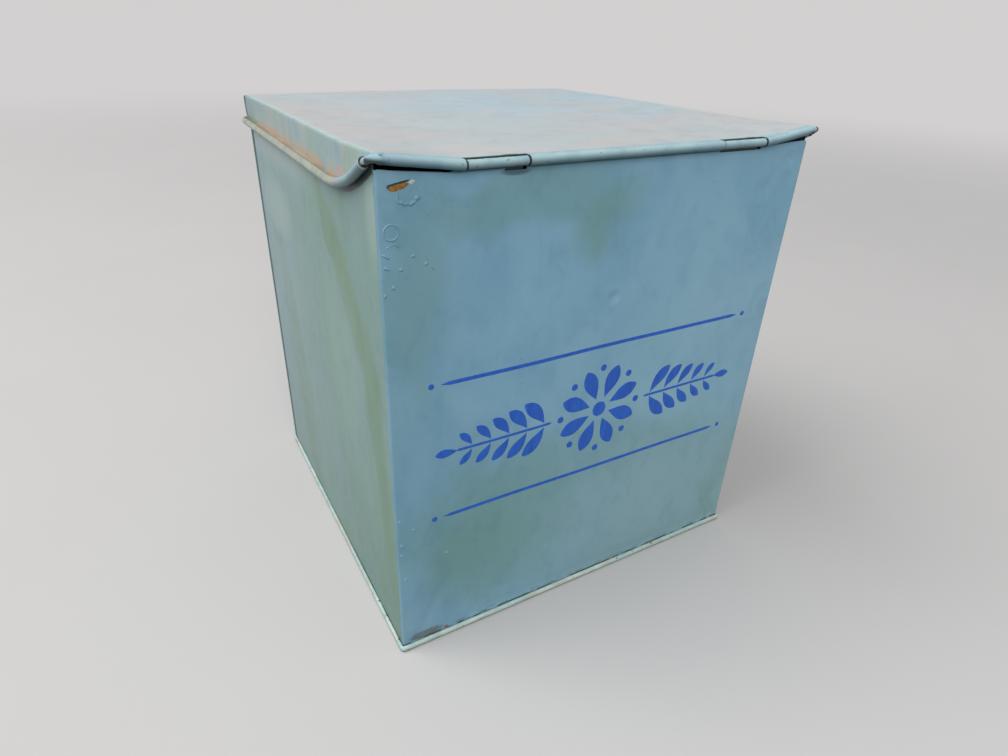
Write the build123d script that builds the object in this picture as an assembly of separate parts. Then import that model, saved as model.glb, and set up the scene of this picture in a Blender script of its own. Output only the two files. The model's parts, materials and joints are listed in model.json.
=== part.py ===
from build123d import *
import math
import os

# Square tinplate biscuit tin with a wired, hinged lid.
# Millimetres, +Z up, the hinge side faces -Y. The origin is on the floor under the middle.

# Body
body_width = 254.0
body_depth = 250.0
front_drop = 1.4
sheet = 0.5
hem_depth = 5.0
hem_gap = 0.1
lap_width = 14.0
corner_clearance = 0.6

# Folded bottom seam
seam_height = 3.8
seam_stand_out = 1.9
seam_round = 1.2
seam_corner_round = 2.4

# Lid
side_gap = 0.8
back_gap = 0.4
seat_gap = 0.25
skirt_height = 16.2
slope_run = 34.5
slope_radius = 90.0
back_corner_radius = 3.7
front_corner_radius = 5.0
tab_length = 10.0
tab_thickness = 0.4
slit_width = 0.25

# Wire and the rolled edges round it
wire_radius = 1.6
wire_slack = 0.2
roll_opening = 50.0
wire_end_gap = 0.5

# Hinge
hinge_height = 276.4
hinge_gap = 0.4
strap_width = 29.4
strap_offset = 73.8
strap_sheet = 0.35
strap_clearance = 0.08
strap_tail = 12.0
strap_neck_radius = 0.8
slot_clearance = 0.3
notch_clearance = 0.6
notch_depth = 2.5
turn_up_angle = 7.2
turn_up_radius = 60.0

# Solder
solder_leg = 1.5
strap_solder_leg = 2.0

# Places worked out from the sizes above
half_width = body_width / 2
half_depth = body_depth / 2
roll_inner = wire_radius + wire_slack
roll_outer = roll_inner + sheet
hinge_y = -half_depth - hinge_gap - roll_outer
lid_top = hinge_height + roll_outer
rim_height = lid_top - sheet - seat_gap
front_height = rim_height - front_drop
hem_reach = 2 * sheet + hem_gap
lap_top = front_height - hem_depth - corner_clearance
seam_flange = seam_stand_out - seam_round

bead_x = half_width + side_gap + roll_outer
bead_y = half_depth + back_gap + roll_outer
bead_z = lid_top - skirt_height
skirt_x = half_width + side_gap + sheet
skirt_y = half_depth + back_gap + sheet
skirt_round = back_corner_radius - roll_inner
slope_start = -half_depth + slope_run

loop_inner = wire_radius + strap_clearance
loop_outer = loop_inner + strap_sheet
notch_half = strap_width / 2 + notch_clearance
slot_half = strap_width / 2 + slot_clearance
turn = math.radians(turn_up_angle)
turn_x = strap_offset + notch_half + turn_up_radius * math.tan(turn / 2)
corner_z = hinge_height + (bead_x - turn_x) * math.tan(turn)
slope = math.atan2(corner_z - bead_z, slope_start - hinge_y)
bend_reach = 1.05 * front_corner_radius
slope_end_y = hinge_y + bend_reach * math.cos(slope)
slope_end_z = corner_z - bend_reach * math.sin(slope)


def block(x0, x1, y0, y1, z0, z1):
    """Box between two corners."""
    return Pos((x0 + x1) / 2, (y0 + y1) / 2, (z0 + z1) / 2) * Box(x1 - x0, y1 - y0, z1 - z0)


def mirrored(shape):
    """The same shape on the other side of the middle plane."""
    return mirror(shape, about=Plane.YZ)


def seam_block(stand_out, bottom, top, corner_round, edge_round):
    """Block over the whole footprint, its upright and level edges rounded."""
    x = half_width + stand_out
    y = half_depth + stand_out
    solid = block(-x, x, -y, y, bottom, top)
    solid = fillet(solid.edges().filter_by(Axis.Z), corner_round)
    level = solid.edges().group_by(Axis.Z)[0] + solid.edges().group_by(Axis.Z)[-1]
    return fillet(level, edge_round)


def bottom_panel():
    """Bottom sheet, its edge turned up and folded over the flange of the walls."""
    outside = seam_block(seam_stand_out, 0, seam_height, seam_corner_round, seam_round)
    hollow = seam_block(
        seam_stand_out - sheet,
        sheet,
        seam_height - sheet,
        seam_corner_round - sheet,
        seam_round - sheet,
    )
    mouth = block(-half_width, half_width, -half_depth, half_depth, sheet, 2 * seam_height)
    return outside - hollow - mouth


def hem(x0, x1, top):
    """Edge of the front wall folded inwards and down, drawn at -Y."""
    inner = -half_depth + sheet
    fold = block(x0, x1, inner, inner + hem_gap, top - sheet, top)
    return fold + block(x0, x1, inner + hem_gap, inner + hem_gap + sheet, top - hem_depth, top)


def flat_panel(top, hem_runs):
    """Front or back wall with its foot flange and hem, drawn at -Y."""
    wall = block(-half_width, half_width, -half_depth, -half_depth + sheet, sheet, top)
    foot_y = -half_depth - seam_flange
    wall += block(-half_width, half_width, foot_y, -half_depth, sheet, 2 * sheet)
    for x0, x1 in hem_runs:
        wall += hem(x0, x1, top)
    return wall


def front_panel():
    """Hinge-side wall: hem cut away at the straps, a slot for each strap."""
    end = half_width - hem_reach - corner_clearance
    near = strap_offset - slot_half - corner_clearance
    far = strap_offset + slot_half + corner_clearance
    wall = flat_panel(front_height, [(-end, -far), (-near, near), (far, end)])
    slot = block(
        strap_offset - slot_half,
        strap_offset + slot_half,
        -half_depth - sheet,
        -half_depth + 2 * sheet,
        hinge_height - loop_outer - slot_clearance,
        hinge_height - loop_inner + strap_sheet + slot_clearance,
    )
    return wall - slot - mirrored(slot)


def back_panel():
    """Wall opposite the hinge, hemmed from corner to corner."""
    end = half_width - hem_reach - corner_clearance
    return Rot(0, 0, 180) * flat_panel(rim_height, [(-end, end)])


def left_side_panel():
    """Left wall with a lap flange at each end, a foot flange and a hem."""
    outer = -half_width
    inner = -half_width + sheet
    y_end = half_depth - sheet
    hem_end = half_depth - hem_reach - corner_clearance
    wall = block(outer, inner, -y_end, y_end, sheet, rim_height)
    wall += block(outer - seam_flange, outer, -y_end, y_end, sheet, 2 * sheet)
    wall += block(inner, inner + lap_width, -y_end, -y_end + sheet, sheet, lap_top)
    wall += block(inner, inner + lap_width, y_end - sheet, y_end, sheet, lap_top)
    hem_x = inner + hem_gap
    wall += block(inner, hem_x, -hem_end, hem_end, rim_height - sheet, rim_height)
    return wall + block(hem_x, hem_x + sheet, -hem_end, hem_end, rim_height - hem_depth, rim_height)


def seam_solder():
    """Solder run along the free edge of each lap flange, inside the four corners."""
    edge = half_width - sheet - lap_width
    wall = half_depth - sheet
    section = Plane.XY.offset(sheet + solder_leg) * make_face(
        Polyline(
            (edge, wall),
            (edge, wall - sheet),
            (edge - solder_leg, wall),
            close=True,
        )
    )
    right = extrude(section, amount=lap_top - sheet - solder_leg)
    pair = [right, mirrored(right)]
    return Compound(children=pair + [mirror(run, about=Plane.XZ) for run in pair])


def solder_prism(length, height, depth):
    """Three-cornered run along X, its wall side on -Y and its flat side down."""
    corner = Plane(origin=(-length / 2, 0, 0), x_dir=(0, 1, 0), z_dir=(1, 0, 0))
    section = corner * make_face(Polyline((0, 0), (depth, 0), (0, height), close=True))
    return extrude(section, amount=length)


def bottom_solder():
    """Solder run inside along the foot of each wall."""
    front_run = 2 * (half_width - sheet - lap_width - solder_leg)
    side_run = 2 * (half_depth - 2 * sheet - corner_clearance)
    front = Pos(0, -half_depth + sheet, sheet) * solder_prism(front_run, solder_leg, solder_leg)
    side = Rot(0, 0, -90) * solder_prism(side_run, solder_leg, solder_leg)
    side = Pos(-half_width + sheet, 0, sheet) * side
    return Compound(children=[front, mirror(front, about=Plane.XZ), side, mirrored(side)])


def strap_section():
    """Strap in side view, the wire's centre at its origin and the wall towards +X."""
    wall_in = hinge_gap + roll_outer + sheet
    tail_in = wall_in + 2 * strap_sheet
    low = -loop_outer
    middle = -loop_inner
    high = middle + strap_sheet
    loop_middle = (loop_inner + loop_outer) / 2
    neck_z = high - strap_sheet / 2 + strap_neck_radius
    neck_y = math.sqrt((loop_middle + strap_neck_radius) ** 2 - neck_z**2)
    reach = 3 * loop_outer
    ring = Circle(loop_outer) - Circle(loop_inner)
    gap = Polyline((0, 0), (0, -reach), (reach, -reach), (reach, reach * neck_z / neck_y), close=True)
    ring -= make_face(gap)
    neck = Circle(strap_neck_radius + strap_sheet / 2) - Circle(strap_neck_radius - strap_sheet / 2)
    kept = Polyline((0, 0), (-reach, -reach * neck_z / neck_y), (-reach, -reach), (0, -reach), close=True)
    neck = Pos(neck_y, neck_z) * (neck & make_face(kept))
    tails = [
        (0, tail_in, low, middle),
        (neck_y, tail_in, middle, high),
        (wall_in, tail_in, low - strap_tail, low),
    ]
    section = ring + neck
    for x0, x1, y0, y1 in tails:
        section += Pos((x0 + x1) / 2, (y0 + y1) / 2) * Rectangle(x1 - x0, y1 - y0)
    return section


def hinge_strap_left():
    """Tinplate strap looped round the wire, both ends through the wall and down inside it."""
    start = -strap_offset - strap_width / 2
    place = Plane(origin=(start, hinge_y, hinge_height), x_dir=(0, 1, 0), z_dir=(1, 0, 0))
    return extrude(place * strap_section(), amount=strap_width)


def strap_solder():
    """Solder run under the tail of each strap, on the inside of the front wall."""
    tail_foot = hinge_height - loop_outer - strap_tail
    run = mirror(solder_prism(strap_width, strap_solder_leg, 2 * strap_sheet), about=Plane.XY)
    left = Pos(-strap_offset, -half_depth + sheet, tail_foot) * run
    return Compound(children=[left, mirrored(left)])


def hinge_line(offset, reach):
    """Right half of the hinge edge, its end turned up, at an offset above the wire's centre."""
    bend_x = turn_x - offset * math.tan(turn / 2)
    z = hinge_height + offset
    end_z = z + (reach - bend_x) * math.tan(turn)
    return FilletPolyline(
        (0, hinge_y, z),
        (bend_x, hinge_y, z),
        (reach, hinge_y, end_z),
        radius=turn_up_radius - offset,
    )


def lid_plan(x, y, corner_round):
    """Plan of the lid with its back corners rounded."""
    sides = FilletPolyline((-x, hinge_y), (-x, y), (x, y), (x, hinge_y), radius=corner_round)
    return make_face(sides + Line(sides @ 1, sides @ 0))


def lid_plate():
    """Right half of the top: flat, then lifted towards the turned-up hinge corner."""
    lower = hinge_line(roll_inner, skirt_x)
    upper = hinge_line(roll_outer, skirt_x)
    front = make_face(lower + upper + Line(lower @ 0, upper @ 0) + Line(lower @ 1, upper @ 1))
    bend_start = strap_offset + notch_half
    stations = [0, bend_start, 2 * turn_x - bend_start, skirt_x]
    under = [(x, skirt_y, lid_top - sheet) for x in stations]
    over = [(x, skirt_y, lid_top) for x in reversed(stations)]
    back = make_face(Polyline(*under, *over, close=True))
    plate = loft([front, back], ruled=True)
    return plate & extrude(lid_plan(skirt_x, skirt_y, skirt_round + sheet), amount=2 * lid_top)


def skirt_wall():
    """Left, back and right skirts, cut off along the bead and under the top."""
    plan = lid_plan(skirt_x, skirt_y, skirt_round + sheet)
    plan -= lid_plan(skirt_x - sheet, skirt_y - sheet, skirt_round)
    upright = extrude(plan, amount=2 * lid_top)
    edge = FilletPolyline(
        (0, skirt_y, bead_z),
        (0, slope_start, bead_z),
        (0, slope_end_y, slope_end_z),
        radius=slope_radius,
    )
    crease_front = (hinge_line(roll_outer, skirt_x) @ 1).Z - sheet / 2
    crease_back = lid_top - sheet / 2
    rise = (crease_front - crease_back) / (skirt_y - hinge_y)
    front_top = (0, slope_end_y, crease_back + rise * (skirt_y - slope_end_y))
    back_top = (0, skirt_y, crease_back)
    side_view = make_face(edge + Polyline(edge @ 1, front_top, back_top, edge @ 0))
    return upright & extrude(side_view, amount=2 * skirt_x, both=True)


def rolled_section(point, away, back):
    """Sheet rolled round the wire, coming in from the back direction on its near side."""
    normal = Vector(away).cross(Vector(back))
    place = Plane(origin=point, x_dir=away, z_dir=normal)
    reach = 2 * roll_outer
    lift = reach * math.tan(math.radians(roll_opening))
    mouth = make_face(Polyline((0, 0), (-reach, 0), (-reach, lift), close=True))
    return place * (Circle(roll_outer) - Circle(roll_inner) - mouth)


def rim_roll():
    """Rolled lower edge of the three skirts, with the slopes up to the hinge corners."""
    start = (-bead_x, 0, bead_z)
    section = rolled_section(start, (-1, 0, 0), (0, 0, 1))
    back_run = FilletPolyline(
        start,
        (-bead_x, bead_y, bead_z),
        (bead_x, bead_y, bead_z),
        (bead_x, 0, bead_z),
        radius=back_corner_radius,
    )
    front_run = FilletPolyline(
        start,
        (-bead_x, slope_start, bead_z),
        (-bead_x, slope_end_y, slope_end_z),
        radius=slope_radius,
    )
    left = sweep(section, path=front_run)
    return sweep(section, path=back_run) + left + mirrored(left)


def hinge_roll():
    """Right half of the hinge edge, rolled down round the wire."""
    line = hinge_line(0, bead_x - bend_reach)
    return sweep(rolled_section(line @ 0, (0, 0, -1), (0, 1, 0)), path=line)


def corner_tab():
    """Tab of the back skirt lapped inside the right skirt."""
    inner = skirt_x - sheet
    y = skirt_y - sheet
    return block(inner - tab_thickness, inner, y - tab_length, y, bead_z, lid_top - sheet / 2)


def corner_slit():
    """Gap between the end of the right skirt and the back skirt's bend."""
    y = skirt_y - sheet - skirt_round
    low = bead_z + roll_outer
    return block(skirt_x - sheet, skirt_x + sheet, y - slit_width, y, low, lid_top - sheet)


def lid_sheet():
    """Top and skirts of one sheet, its edges rolled round the wire."""
    notch = block(
        strap_offset - notch_half,
        strap_offset + notch_half,
        hinge_y - 2 * roll_outer,
        hinge_y + notch_depth,
        hinge_height - 2 * roll_outer,
        hinge_height + 2 * roll_outer,
    )
    right = (lid_plate() - notch) + (hinge_roll() - notch)
    slits = [corner_slit(), mirrored(corner_slit())]
    tabs = corner_tab() + mirrored(corner_tab())
    return right + mirrored(right) + (skirt_wall() + tabs - slits) + rim_roll()


def lid_solder():
    """Solder run up the free edge of each corner tab, inside the lid."""
    wall = skirt_x - sheet
    edge = skirt_y - sheet - tab_length
    section = make_face(
        Polyline(
            (wall, edge),
            (wall - tab_thickness, edge),
            (wall, edge - solder_leg),
            close=True,
        )
    )
    right = extrude(Plane.XY.offset(bead_z) * section, amount=skirt_height - sheet)
    return Compound(children=[right, mirrored(right)])


def lid_wire():
    """One wire bent all round the lid. Along the hinge edge it is the hinge pin."""
    left = [
        (-wire_end_gap / 2, bead_y, bead_z),
        (-bead_x, bead_y, bead_z),
        (-bead_x, slope_start, bead_z),
        (-bead_x, hinge_y, corner_z),
        (-turn_x, hinge_y, hinge_height),
    ]
    right = [(-x, y, z) for x, y, z in reversed(left)]
    bends = [back_corner_radius, slope_radius, front_corner_radius, turn_up_radius]
    route = FilletPolyline(*left, *right, radius=bends + bends[::-1])
    end = Plane(origin=left[0], z_dir=(-1, 0, 0))
    return sweep(end * Circle(wire_radius), path=route)


os.makedirs("parts", exist_ok=True)
pieces = {
    "bottom_panel": bottom_panel(),
    "front_panel": front_panel(),
    "back_panel": back_panel(),
    "left_side_panel": left_side_panel(),
    "right_side_panel": mirrored(left_side_panel()),
    "seam_solder": seam_solder(),
    "bottom_solder": bottom_solder(),
    "hinge_strap_left": hinge_strap_left(),
    "hinge_strap_right": mirrored(hinge_strap_left()),
    "strap_solder": strap_solder(),
    "lid_sheet": lid_sheet(),
    "lid_solder": lid_solder(),
    "lid_wire": lid_wire(),
}
for name, piece in pieces.items():
    export_step(piece, f"parts/{name}.step")
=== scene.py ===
import json
import math

import bpy
import numpy as np
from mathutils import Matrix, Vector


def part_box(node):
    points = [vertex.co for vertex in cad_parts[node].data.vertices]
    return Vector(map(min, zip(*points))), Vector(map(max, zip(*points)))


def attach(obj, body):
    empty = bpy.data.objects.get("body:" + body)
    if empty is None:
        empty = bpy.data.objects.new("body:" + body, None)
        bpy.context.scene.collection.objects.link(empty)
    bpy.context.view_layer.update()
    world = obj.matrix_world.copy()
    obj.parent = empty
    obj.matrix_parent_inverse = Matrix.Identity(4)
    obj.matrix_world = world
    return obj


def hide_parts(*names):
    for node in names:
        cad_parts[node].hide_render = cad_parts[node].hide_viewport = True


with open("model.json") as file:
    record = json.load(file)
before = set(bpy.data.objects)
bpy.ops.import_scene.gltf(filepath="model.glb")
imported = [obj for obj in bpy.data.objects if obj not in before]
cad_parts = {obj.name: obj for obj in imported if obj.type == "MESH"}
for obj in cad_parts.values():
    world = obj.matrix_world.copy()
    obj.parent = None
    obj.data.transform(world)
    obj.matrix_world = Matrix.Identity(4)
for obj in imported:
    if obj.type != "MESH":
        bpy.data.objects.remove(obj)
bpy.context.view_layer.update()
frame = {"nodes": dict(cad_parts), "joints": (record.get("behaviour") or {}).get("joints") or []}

# All shapes are worked out in millimetres; makeObject turns them into metres.
mm = 0.001
draw = np.random.default_rng(11)


def highCorner(node):
    # The far upper corner of a solid's box, in millimetres.
    return np.array(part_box(node)[1]) / mm


frontHigh = highCorner("front_panel")
backHigh = highCorner("back_panel")
hingePlace = np.array(frame["joints"][0]["pos_m"]) / mm

tin = {
    "halfWidth": frontHigh[0],
    "halfDepth": 125.0,
    "sheet": 0.5,
    "frontTop": frontHigh[2],
    "rimTop": backHigh[2],
    "hemDepth": 5.0,
    "hemRadius": 0.3,
    "cornerRadius": 0.75,
    "cornerWrap": 0.6,
    # how far the back wall stands over the side walls, and how far it turns onto them
    "backLap": 0.45,
    "backWrap": 3.6,
    "step": 1.5,
}

# where the lid's edge is cut out for the straps
notchSet = {
    "left": (-88.8, -58.1),
    "right": (58.25, 89.4),
}


# Small helpers for shapes

def places(stops, step):
    # Even steps between fixed stops, which are all kept.
    out = [stops[0]]
    for a, b in zip(stops[:-1], stops[1:]):
        count = max(1, int(math.ceil(abs(b - a) / step)))
        out.extend(np.linspace(a, b, count + 1)[1:])
    return np.array(out)


def unit(v):
    v = np.asarray(v, float)
    return v / np.linalg.norm(v, axis=-1, keepdims=True)


def ease(value, low, high):
    t = np.clip((np.asarray(value, float) - low) / (high - low), 0, 1)
    return t * t * (3 - 2 * t)


def roundedRoute(corners, radii, step, arcStep):
    # Points along a line whose inner corners are rounded.
    corners = [np.array(c, float) for c in corners]
    out = [corners[0]]
    last = corners[0]
    for before, here, after, radius in zip(corners, corners[1:], corners[2:], radii):
        d0 = unit(here - before)
        d1 = unit(after - here)
        angle = math.acos(float(np.clip(d0 @ d1, -1, 1)))
        reach = radius * math.tan(angle / 2)
        start = here - d0 * reach
        side = unit(d1 - (d1 @ d0) * d0)
        count = max(1, int(np.linalg.norm(start - last) / step))
        out.extend(last + (start - last) * k / count for k in range(1, count + 1))
        count = max(2, int(math.ceil(radius * angle / arcStep)))
        for k in range(1, count + 1):
            a = angle * k / count
            out.append(start + side * radius * (1 - math.cos(a)) + d0 * radius * math.sin(a))
        last = out[-1]
    count = max(1, int(np.linalg.norm(corners[-1] - last) / step))
    out.extend(last + (corners[-1] - last) * k / count for k in range(1, count + 1))
    return np.array(out)


class Patches:
    # Grids of points that share their edges, gathered into one mesh.
    def __init__(self):
        self.points = []
        self.faces = []
        self.slots = []
        self.count = 0

    def grid(self, points, slot=0, keep=None, flip=False):
        points = np.asarray(points, float)
        rows, cols = points.shape[:2]
        index = self.count + np.arange(rows * cols).reshape(rows, cols)
        quads = np.stack([index[:-1, :-1], index[:-1, 1:], index[1:, 1:], index[1:, :-1]], -1)
        quads = quads.reshape(-1, 4) if keep is None else quads[keep]
        if flip:
            quads = quads[:, ::-1]
        self.points.append(points.reshape(-1, 3))
        self.faces.append(quads)
        self.slots.append(np.full(len(quads), slot))
        self.count += rows * cols

    def merged(self):
        points = np.concatenate(self.points)
        faces = np.concatenate(self.faces)
        slots = np.concatenate(self.slots)
        keys = np.round(points + 0.000217, 3)
        _, first, where = np.unique(keys, axis=0, return_index=True, return_inverse=True)
        faces = where.reshape(-1)[faces]
        used, faces = np.unique(faces, return_inverse=True)
        faces = faces.reshape(-1, 4)
        points = points[first][used]
        rows = []
        kept = []
        for face, slot in zip(faces.tolist(), slots.tolist()):
            row = [v for k, v in enumerate(face) if v != face[k - 1]]
            if len(set(row)) == len(row) and len(row) > 2:
                rows.append(row)
                kept.append(slot)
        return points, rows, kept


def makeObject(name, points, faces, slots, finishes):
    mesh = bpy.data.meshes.new(name)
    mesh.from_pydata((np.asarray(points) * mm).tolist(), [], faces)
    for finish in finishes:
        mesh.materials.append(finish)
    mesh.polygons.foreach_set("material_index", slots)
    mesh.update()
    obj = bpy.data.objects.new(name, mesh)
    bpy.context.collection.objects.link(obj)
    return obj


def settle(obj, sharp):
    # Applies the modifiers, then smooth shading with sharp edges.
    graph = bpy.context.evaluated_depsgraph_get()
    mesh = bpy.data.meshes.new_from_object(obj.evaluated_get(graph))
    old = obj.data
    obj.modifiers.clear()
    name = old.name
    obj.data = mesh
    bpy.data.meshes.remove(old)
    mesh.name = name
    mesh.polygons.foreach_set("use_smooth", np.ones(len(mesh.polygons), bool))
    mesh.set_sharp_from_angle(angle=math.radians(sharp))


def sheetPiece(name, patches, thick, finishes, body, nodes=(), sharp=40):
    # A bent sheet of that thickness round the middle surface of the patches.
    obj = makeObject(name, *patches.merged(), finishes)
    solid = obj.modifiers.new("thickness", "SOLIDIFY")
    solid.thickness = thick * mm
    solid.offset = 0
    solid.use_even_offset = True
    solid.material_offset = 1
    settle(obj, sharp)
    return declare(obj, body, nodes)


def closedPiece(name, patches, finishes, body, nodes=(), sharp=40):
    obj = makeObject(name, *patches.merged(), finishes)
    settle(obj, sharp)
    return declare(obj, body, nodes)


def declare(obj, body, nodes):
    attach(obj, body)
    if nodes:
        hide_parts(*nodes)
    print("made", obj.name, len(obj.data.polygons), "faces")
    return obj


def tube(route, radius, around):
    # Round bar along a route, each end closed to a point.
    tangent = unit(np.gradient(route, axis=0))
    out = unit(np.stack([-tangent[:, 1], tangent[:, 0], 0 * tangent[:, 0]], -1))
    up = np.cross(tangent, out)
    angle = np.linspace(0, 2 * math.pi, around + 1)
    ring = np.cos(angle)[:, None, None] * out[None] + np.sin(angle)[:, None, None] * up[None]
    points = route[None] + ring * radius
    points[-1] = points[0]
    first = np.repeat(route[[0]][None], around + 1, 0)
    last = np.repeat(route[[-1]][None], around + 1, 0)
    return np.concatenate([first, points, last], 1)


# Camera

cameraSet = {
    "place": (-212.7, -374.9, 329.9),
    "turn": (61.04, -1.87, -29.57),
    "lens": 23.27,
    "sensor": 36,
}


def makeCamera():
    data = bpy.data.cameras.new("camera")
    data.lens = cameraSet["lens"]
    data.sensor_width = cameraSet["sensor"]
    data.clip_start = 0.01
    eye = bpy.data.objects.new("camera", data)
    eye.location = [v * mm for v in cameraSet["place"]]
    eye.rotation_euler = [math.radians(v) for v in cameraSet["turn"]]
    bpy.context.collection.objects.link(eye)
    bpy.context.scene.camera = eye


makeCamera()
print("camera ready")


# Shader helpers

def tone(red, green, blue):
    # A colour as a screen shows it, 0 to 255, turned into what a shader reads.
    parts = np.array([red, green, blue]) / 255
    parts = np.where(parts <= 0.04045, parts / 12.92, ((parts + 0.055) / 1.055) ** 2.4)
    return (*parts.tolist(), 1)


class Field:
    # A shader socket: an expression on it adds Math nodes.
    def __init__(self, finish, socket):
        self.finish = finish
        self.socket = socket

    def calc(self, operation, *others):
        values = dict(enumerate([self, *others]))
        return self.finish.add("ShaderNodeMath", {"operation": operation}, values)

    def __add__(self, other):
        return self.calc("ADD", other)

    def __radd__(self, other):
        return self.calc("ADD", other)

    def __sub__(self, other):
        return self.calc("SUBTRACT", other)

    def __rsub__(self, other):
        return self.finish.add("ShaderNodeMath", {"operation": "SUBTRACT"}, {0: other, 1: self})

    def __mul__(self, other):
        return self.calc("MULTIPLY", other)

    def __rmul__(self, other):
        return self.calc("MULTIPLY", other)

    def __truediv__(self, other):
        return self.calc("DIVIDE", other)

    def __rtruediv__(self, other):
        return self.finish.add("ShaderNodeMath", {"operation": "DIVIDE"}, {0: other, 1: self})

    def __pow__(self, other):
        return self.calc("POWER", other)

    def __abs__(self):
        return self.calc("ABSOLUTE")

    def __neg__(self):
        return self.calc("MULTIPLY", -1)

    def atLeast(self, other):
        return self.calc("MAXIMUM", other)

    def rise(self, low, high):
        # 0 below low, 1 above high and smooth between; low may be the greater.
        settings = {"interpolation_type": "SMOOTHSTEP"}
        return self.finish.add("ShaderNodeMapRange", settings, {0: self, 1: low, 2: high, 3: 0, 4: 1})


class Finish:
    # One material. Its places x, y and z are in millimetres and ride with the piece.
    def __init__(self, name, plain):
        self.material = bpy.data.materials.new(name)
        self.material.use_nodes = True
        self.tree = self.material.node_tree
        self.shader = self.tree.nodes["Principled BSDF"]
        for socket, value in plain.items():
            self.shader.inputs[socket].default_value = value
        spot = self.add("ShaderNodeTexCoord", {}, {}, "Object")
        self.spot = self.add("ShaderNodeVectorMath", {"operation": "SCALE"}, {0: spot, "Scale": 1000})
        self.x, self.y, self.z = (self.add("ShaderNodeSeparateXYZ", {}, {0: self.spot}, k) for k in range(3))

    def add(self, kind, settings, values, output=0):
        node = self.tree.nodes.new(kind)
        for key, value in settings.items():
            setattr(node, key, value)
        for key, value in values.items():
            socket = node.inputs[key]
            if isinstance(value, Field):
                self.tree.links.new(value.socket, socket)
            else:
                socket.default_value = value
        return Field(self, node.outputs[output])

    def grain(self, size, detail=3, rough=0.55, bend=0, shift=0):
        # Noise whose grains have that size in x, y and z, from about 0.25 to 0.75.
        factor = [1 / s for s in np.broadcast_to(size, 3)]
        spot = self.add("ShaderNodeVectorMath", {"operation": "MULTIPLY"}, {0: self.spot, 1: factor})
        spot = self.add("ShaderNodeVectorMath", {"operation": "ADD"}, {0: spot, 1: (shift, shift, shift)})
        values = {"Vector": spot, "Scale": 1, "Detail": detail, "Roughness": rough, "Distortion": bend}
        return self.add("ShaderNodeTexNoise", {}, values)

    def blot(self, a, b, spot, reach, turn, soft):
        # A soft oval patch in two of the places.
        c = math.cos(math.radians(turn))
        s = math.sin(math.radians(turn))
        da = a - spot[0]
        db = b - spot[1]
        along = (da * c + db * s) / reach[0]
        across = (db * c - da * s) / reach[1]
        return (along * along + across * across).rise(1 + soft, 1 - soft)

    def blots(self, a, b, key):
        # The strongest of several soft patches at each place.
        shares = [self.blot(a, b, *patch[:-1]) * patch[-1] for patch in patchSet[key]]
        whole = shares[0]
        for share in shares[1:]:
            whole = whole.atLeast(share)
        return whole

    def blend(self, factor, first, second, way="MIX"):
        settings = {"data_type": "RGBA", "blend_type": way}
        return self.add("ShaderNodeMix", settings, {0: factor, 6: first, 7: second}, 2)

    def relief(self, height):
        # Height in millimetres.
        values = {"Height": height, "Strength": 1.0, "Distance": mm}
        self.feed("Normal", self.add("ShaderNodeBump", {}, values))

    def feed(self, socket, field):
        self.tree.links.new(field.socket, self.shader.inputs[socket])

    def feedAll(self, color, rough, height, metal=None):
        self.feed("Base Color", color)
        self.feed("Roughness", rough)
        if metal is not None:
            self.feed("Metallic", metal)
        self.relief(height)
        return self.material


# Finishes

class Coat:
    # Layers of colour on one finish, each laid over those before it.
    def __init__(self, finish, factor, first, second):
        self.finish = finish
        self.color = finish.blend(factor, first, second)

    def over(self, factor, color):
        self.color = self.finish.blend(factor, self.color, color)

    def shade(self, factor, color):
        self.color = self.finish.blend(factor, self.color, color, "MULTIPLY")

    def brushed(self, wet, brush, extra=None):
        # Fine marks that all the brushed paint has: strokes, specks and a soft satin.
        finish = self.finish
        strokes = finish.grain(brush, 4, 0.6)
        fine = finish.grain(0.9, 2, 0.5, shift=5)
        wide = finish.grain((34, 34, 60), 3, 0.5, shift=9)
        middle = finish.grain((13, 13, 17), 3, 0.6, 0.6, shift=15)
        self.shade((strokes - 0.5) * 0.5 + 0.5, bodyLook["strokeTint"])
        self.shade(middle.rise(0.45, 0.72), bodyLook["cloudTint"])
        specks = finish.grain(1.6, 1, 0.4, shift=21).rise(0.74, 0.81)
        self.over(specks * 0.3, bodyLook["dark"])
        finish.feed("Base Color", self.color)
        finish.feed("Roughness", wet + (strokes - 0.5) * 0.16 + (wide - 0.5) * 0.14)
        height = strokes * 0.05 + fine * 0.012 + middle * 0.05
        finish.relief(height if extra is None else height + extra)
        return finish.material


bodyLook = {
    "blue": tone(136, 178, 198),
    "deepBlue": tone(124, 168, 192),
    "paleBlue": tone(146, 186, 202),
    "teal": tone(114, 156, 156),
    "dusty": tone(142, 174, 178),
    "olive": tone(112, 150, 134),
    "sideBlue": tone(150, 174, 176),
    # painted light on the side walls
    "sideLitPale": tone(176, 194, 190),
    "sideGrey": tone(146, 172, 174),
    "sideMint": tone(138, 168, 160),
    "sideOlive": tone(126, 154, 126),
    "seam": tone(80, 100, 98),
    "rust": tone(122, 78, 46),
    "dark": tone(44, 56, 60),
    "bare": tone(158, 166, 168),
    "footStain": tone(96, 84, 66),
    "footChip": tone(140, 90, 56),
    # dark of the painted shadows under the lid's rolled edges
    "rollShadow": tone(26, 36, 40),
    "sideRollShadow": tone(24, 28, 28),
    # painted highlight on the front's right edge
    "edgeHighlight": tone(176, 186, 184),
    # these darken what they lie on
    "darkerEdges": (0.80, 0.80, 0.76, 1),
    "sideShade": (0.80, 0.82, 0.78, 1),
    "greener": (0.86, 0.93, 0.87, 1),
    "lowGreener": (0.90, 0.92, 0.88, 1),
    "strokeTint": (0.94, 0.95, 0.96, 1),
    "cloudTint": (0.90, 0.92, 0.94, 1),
}

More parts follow.
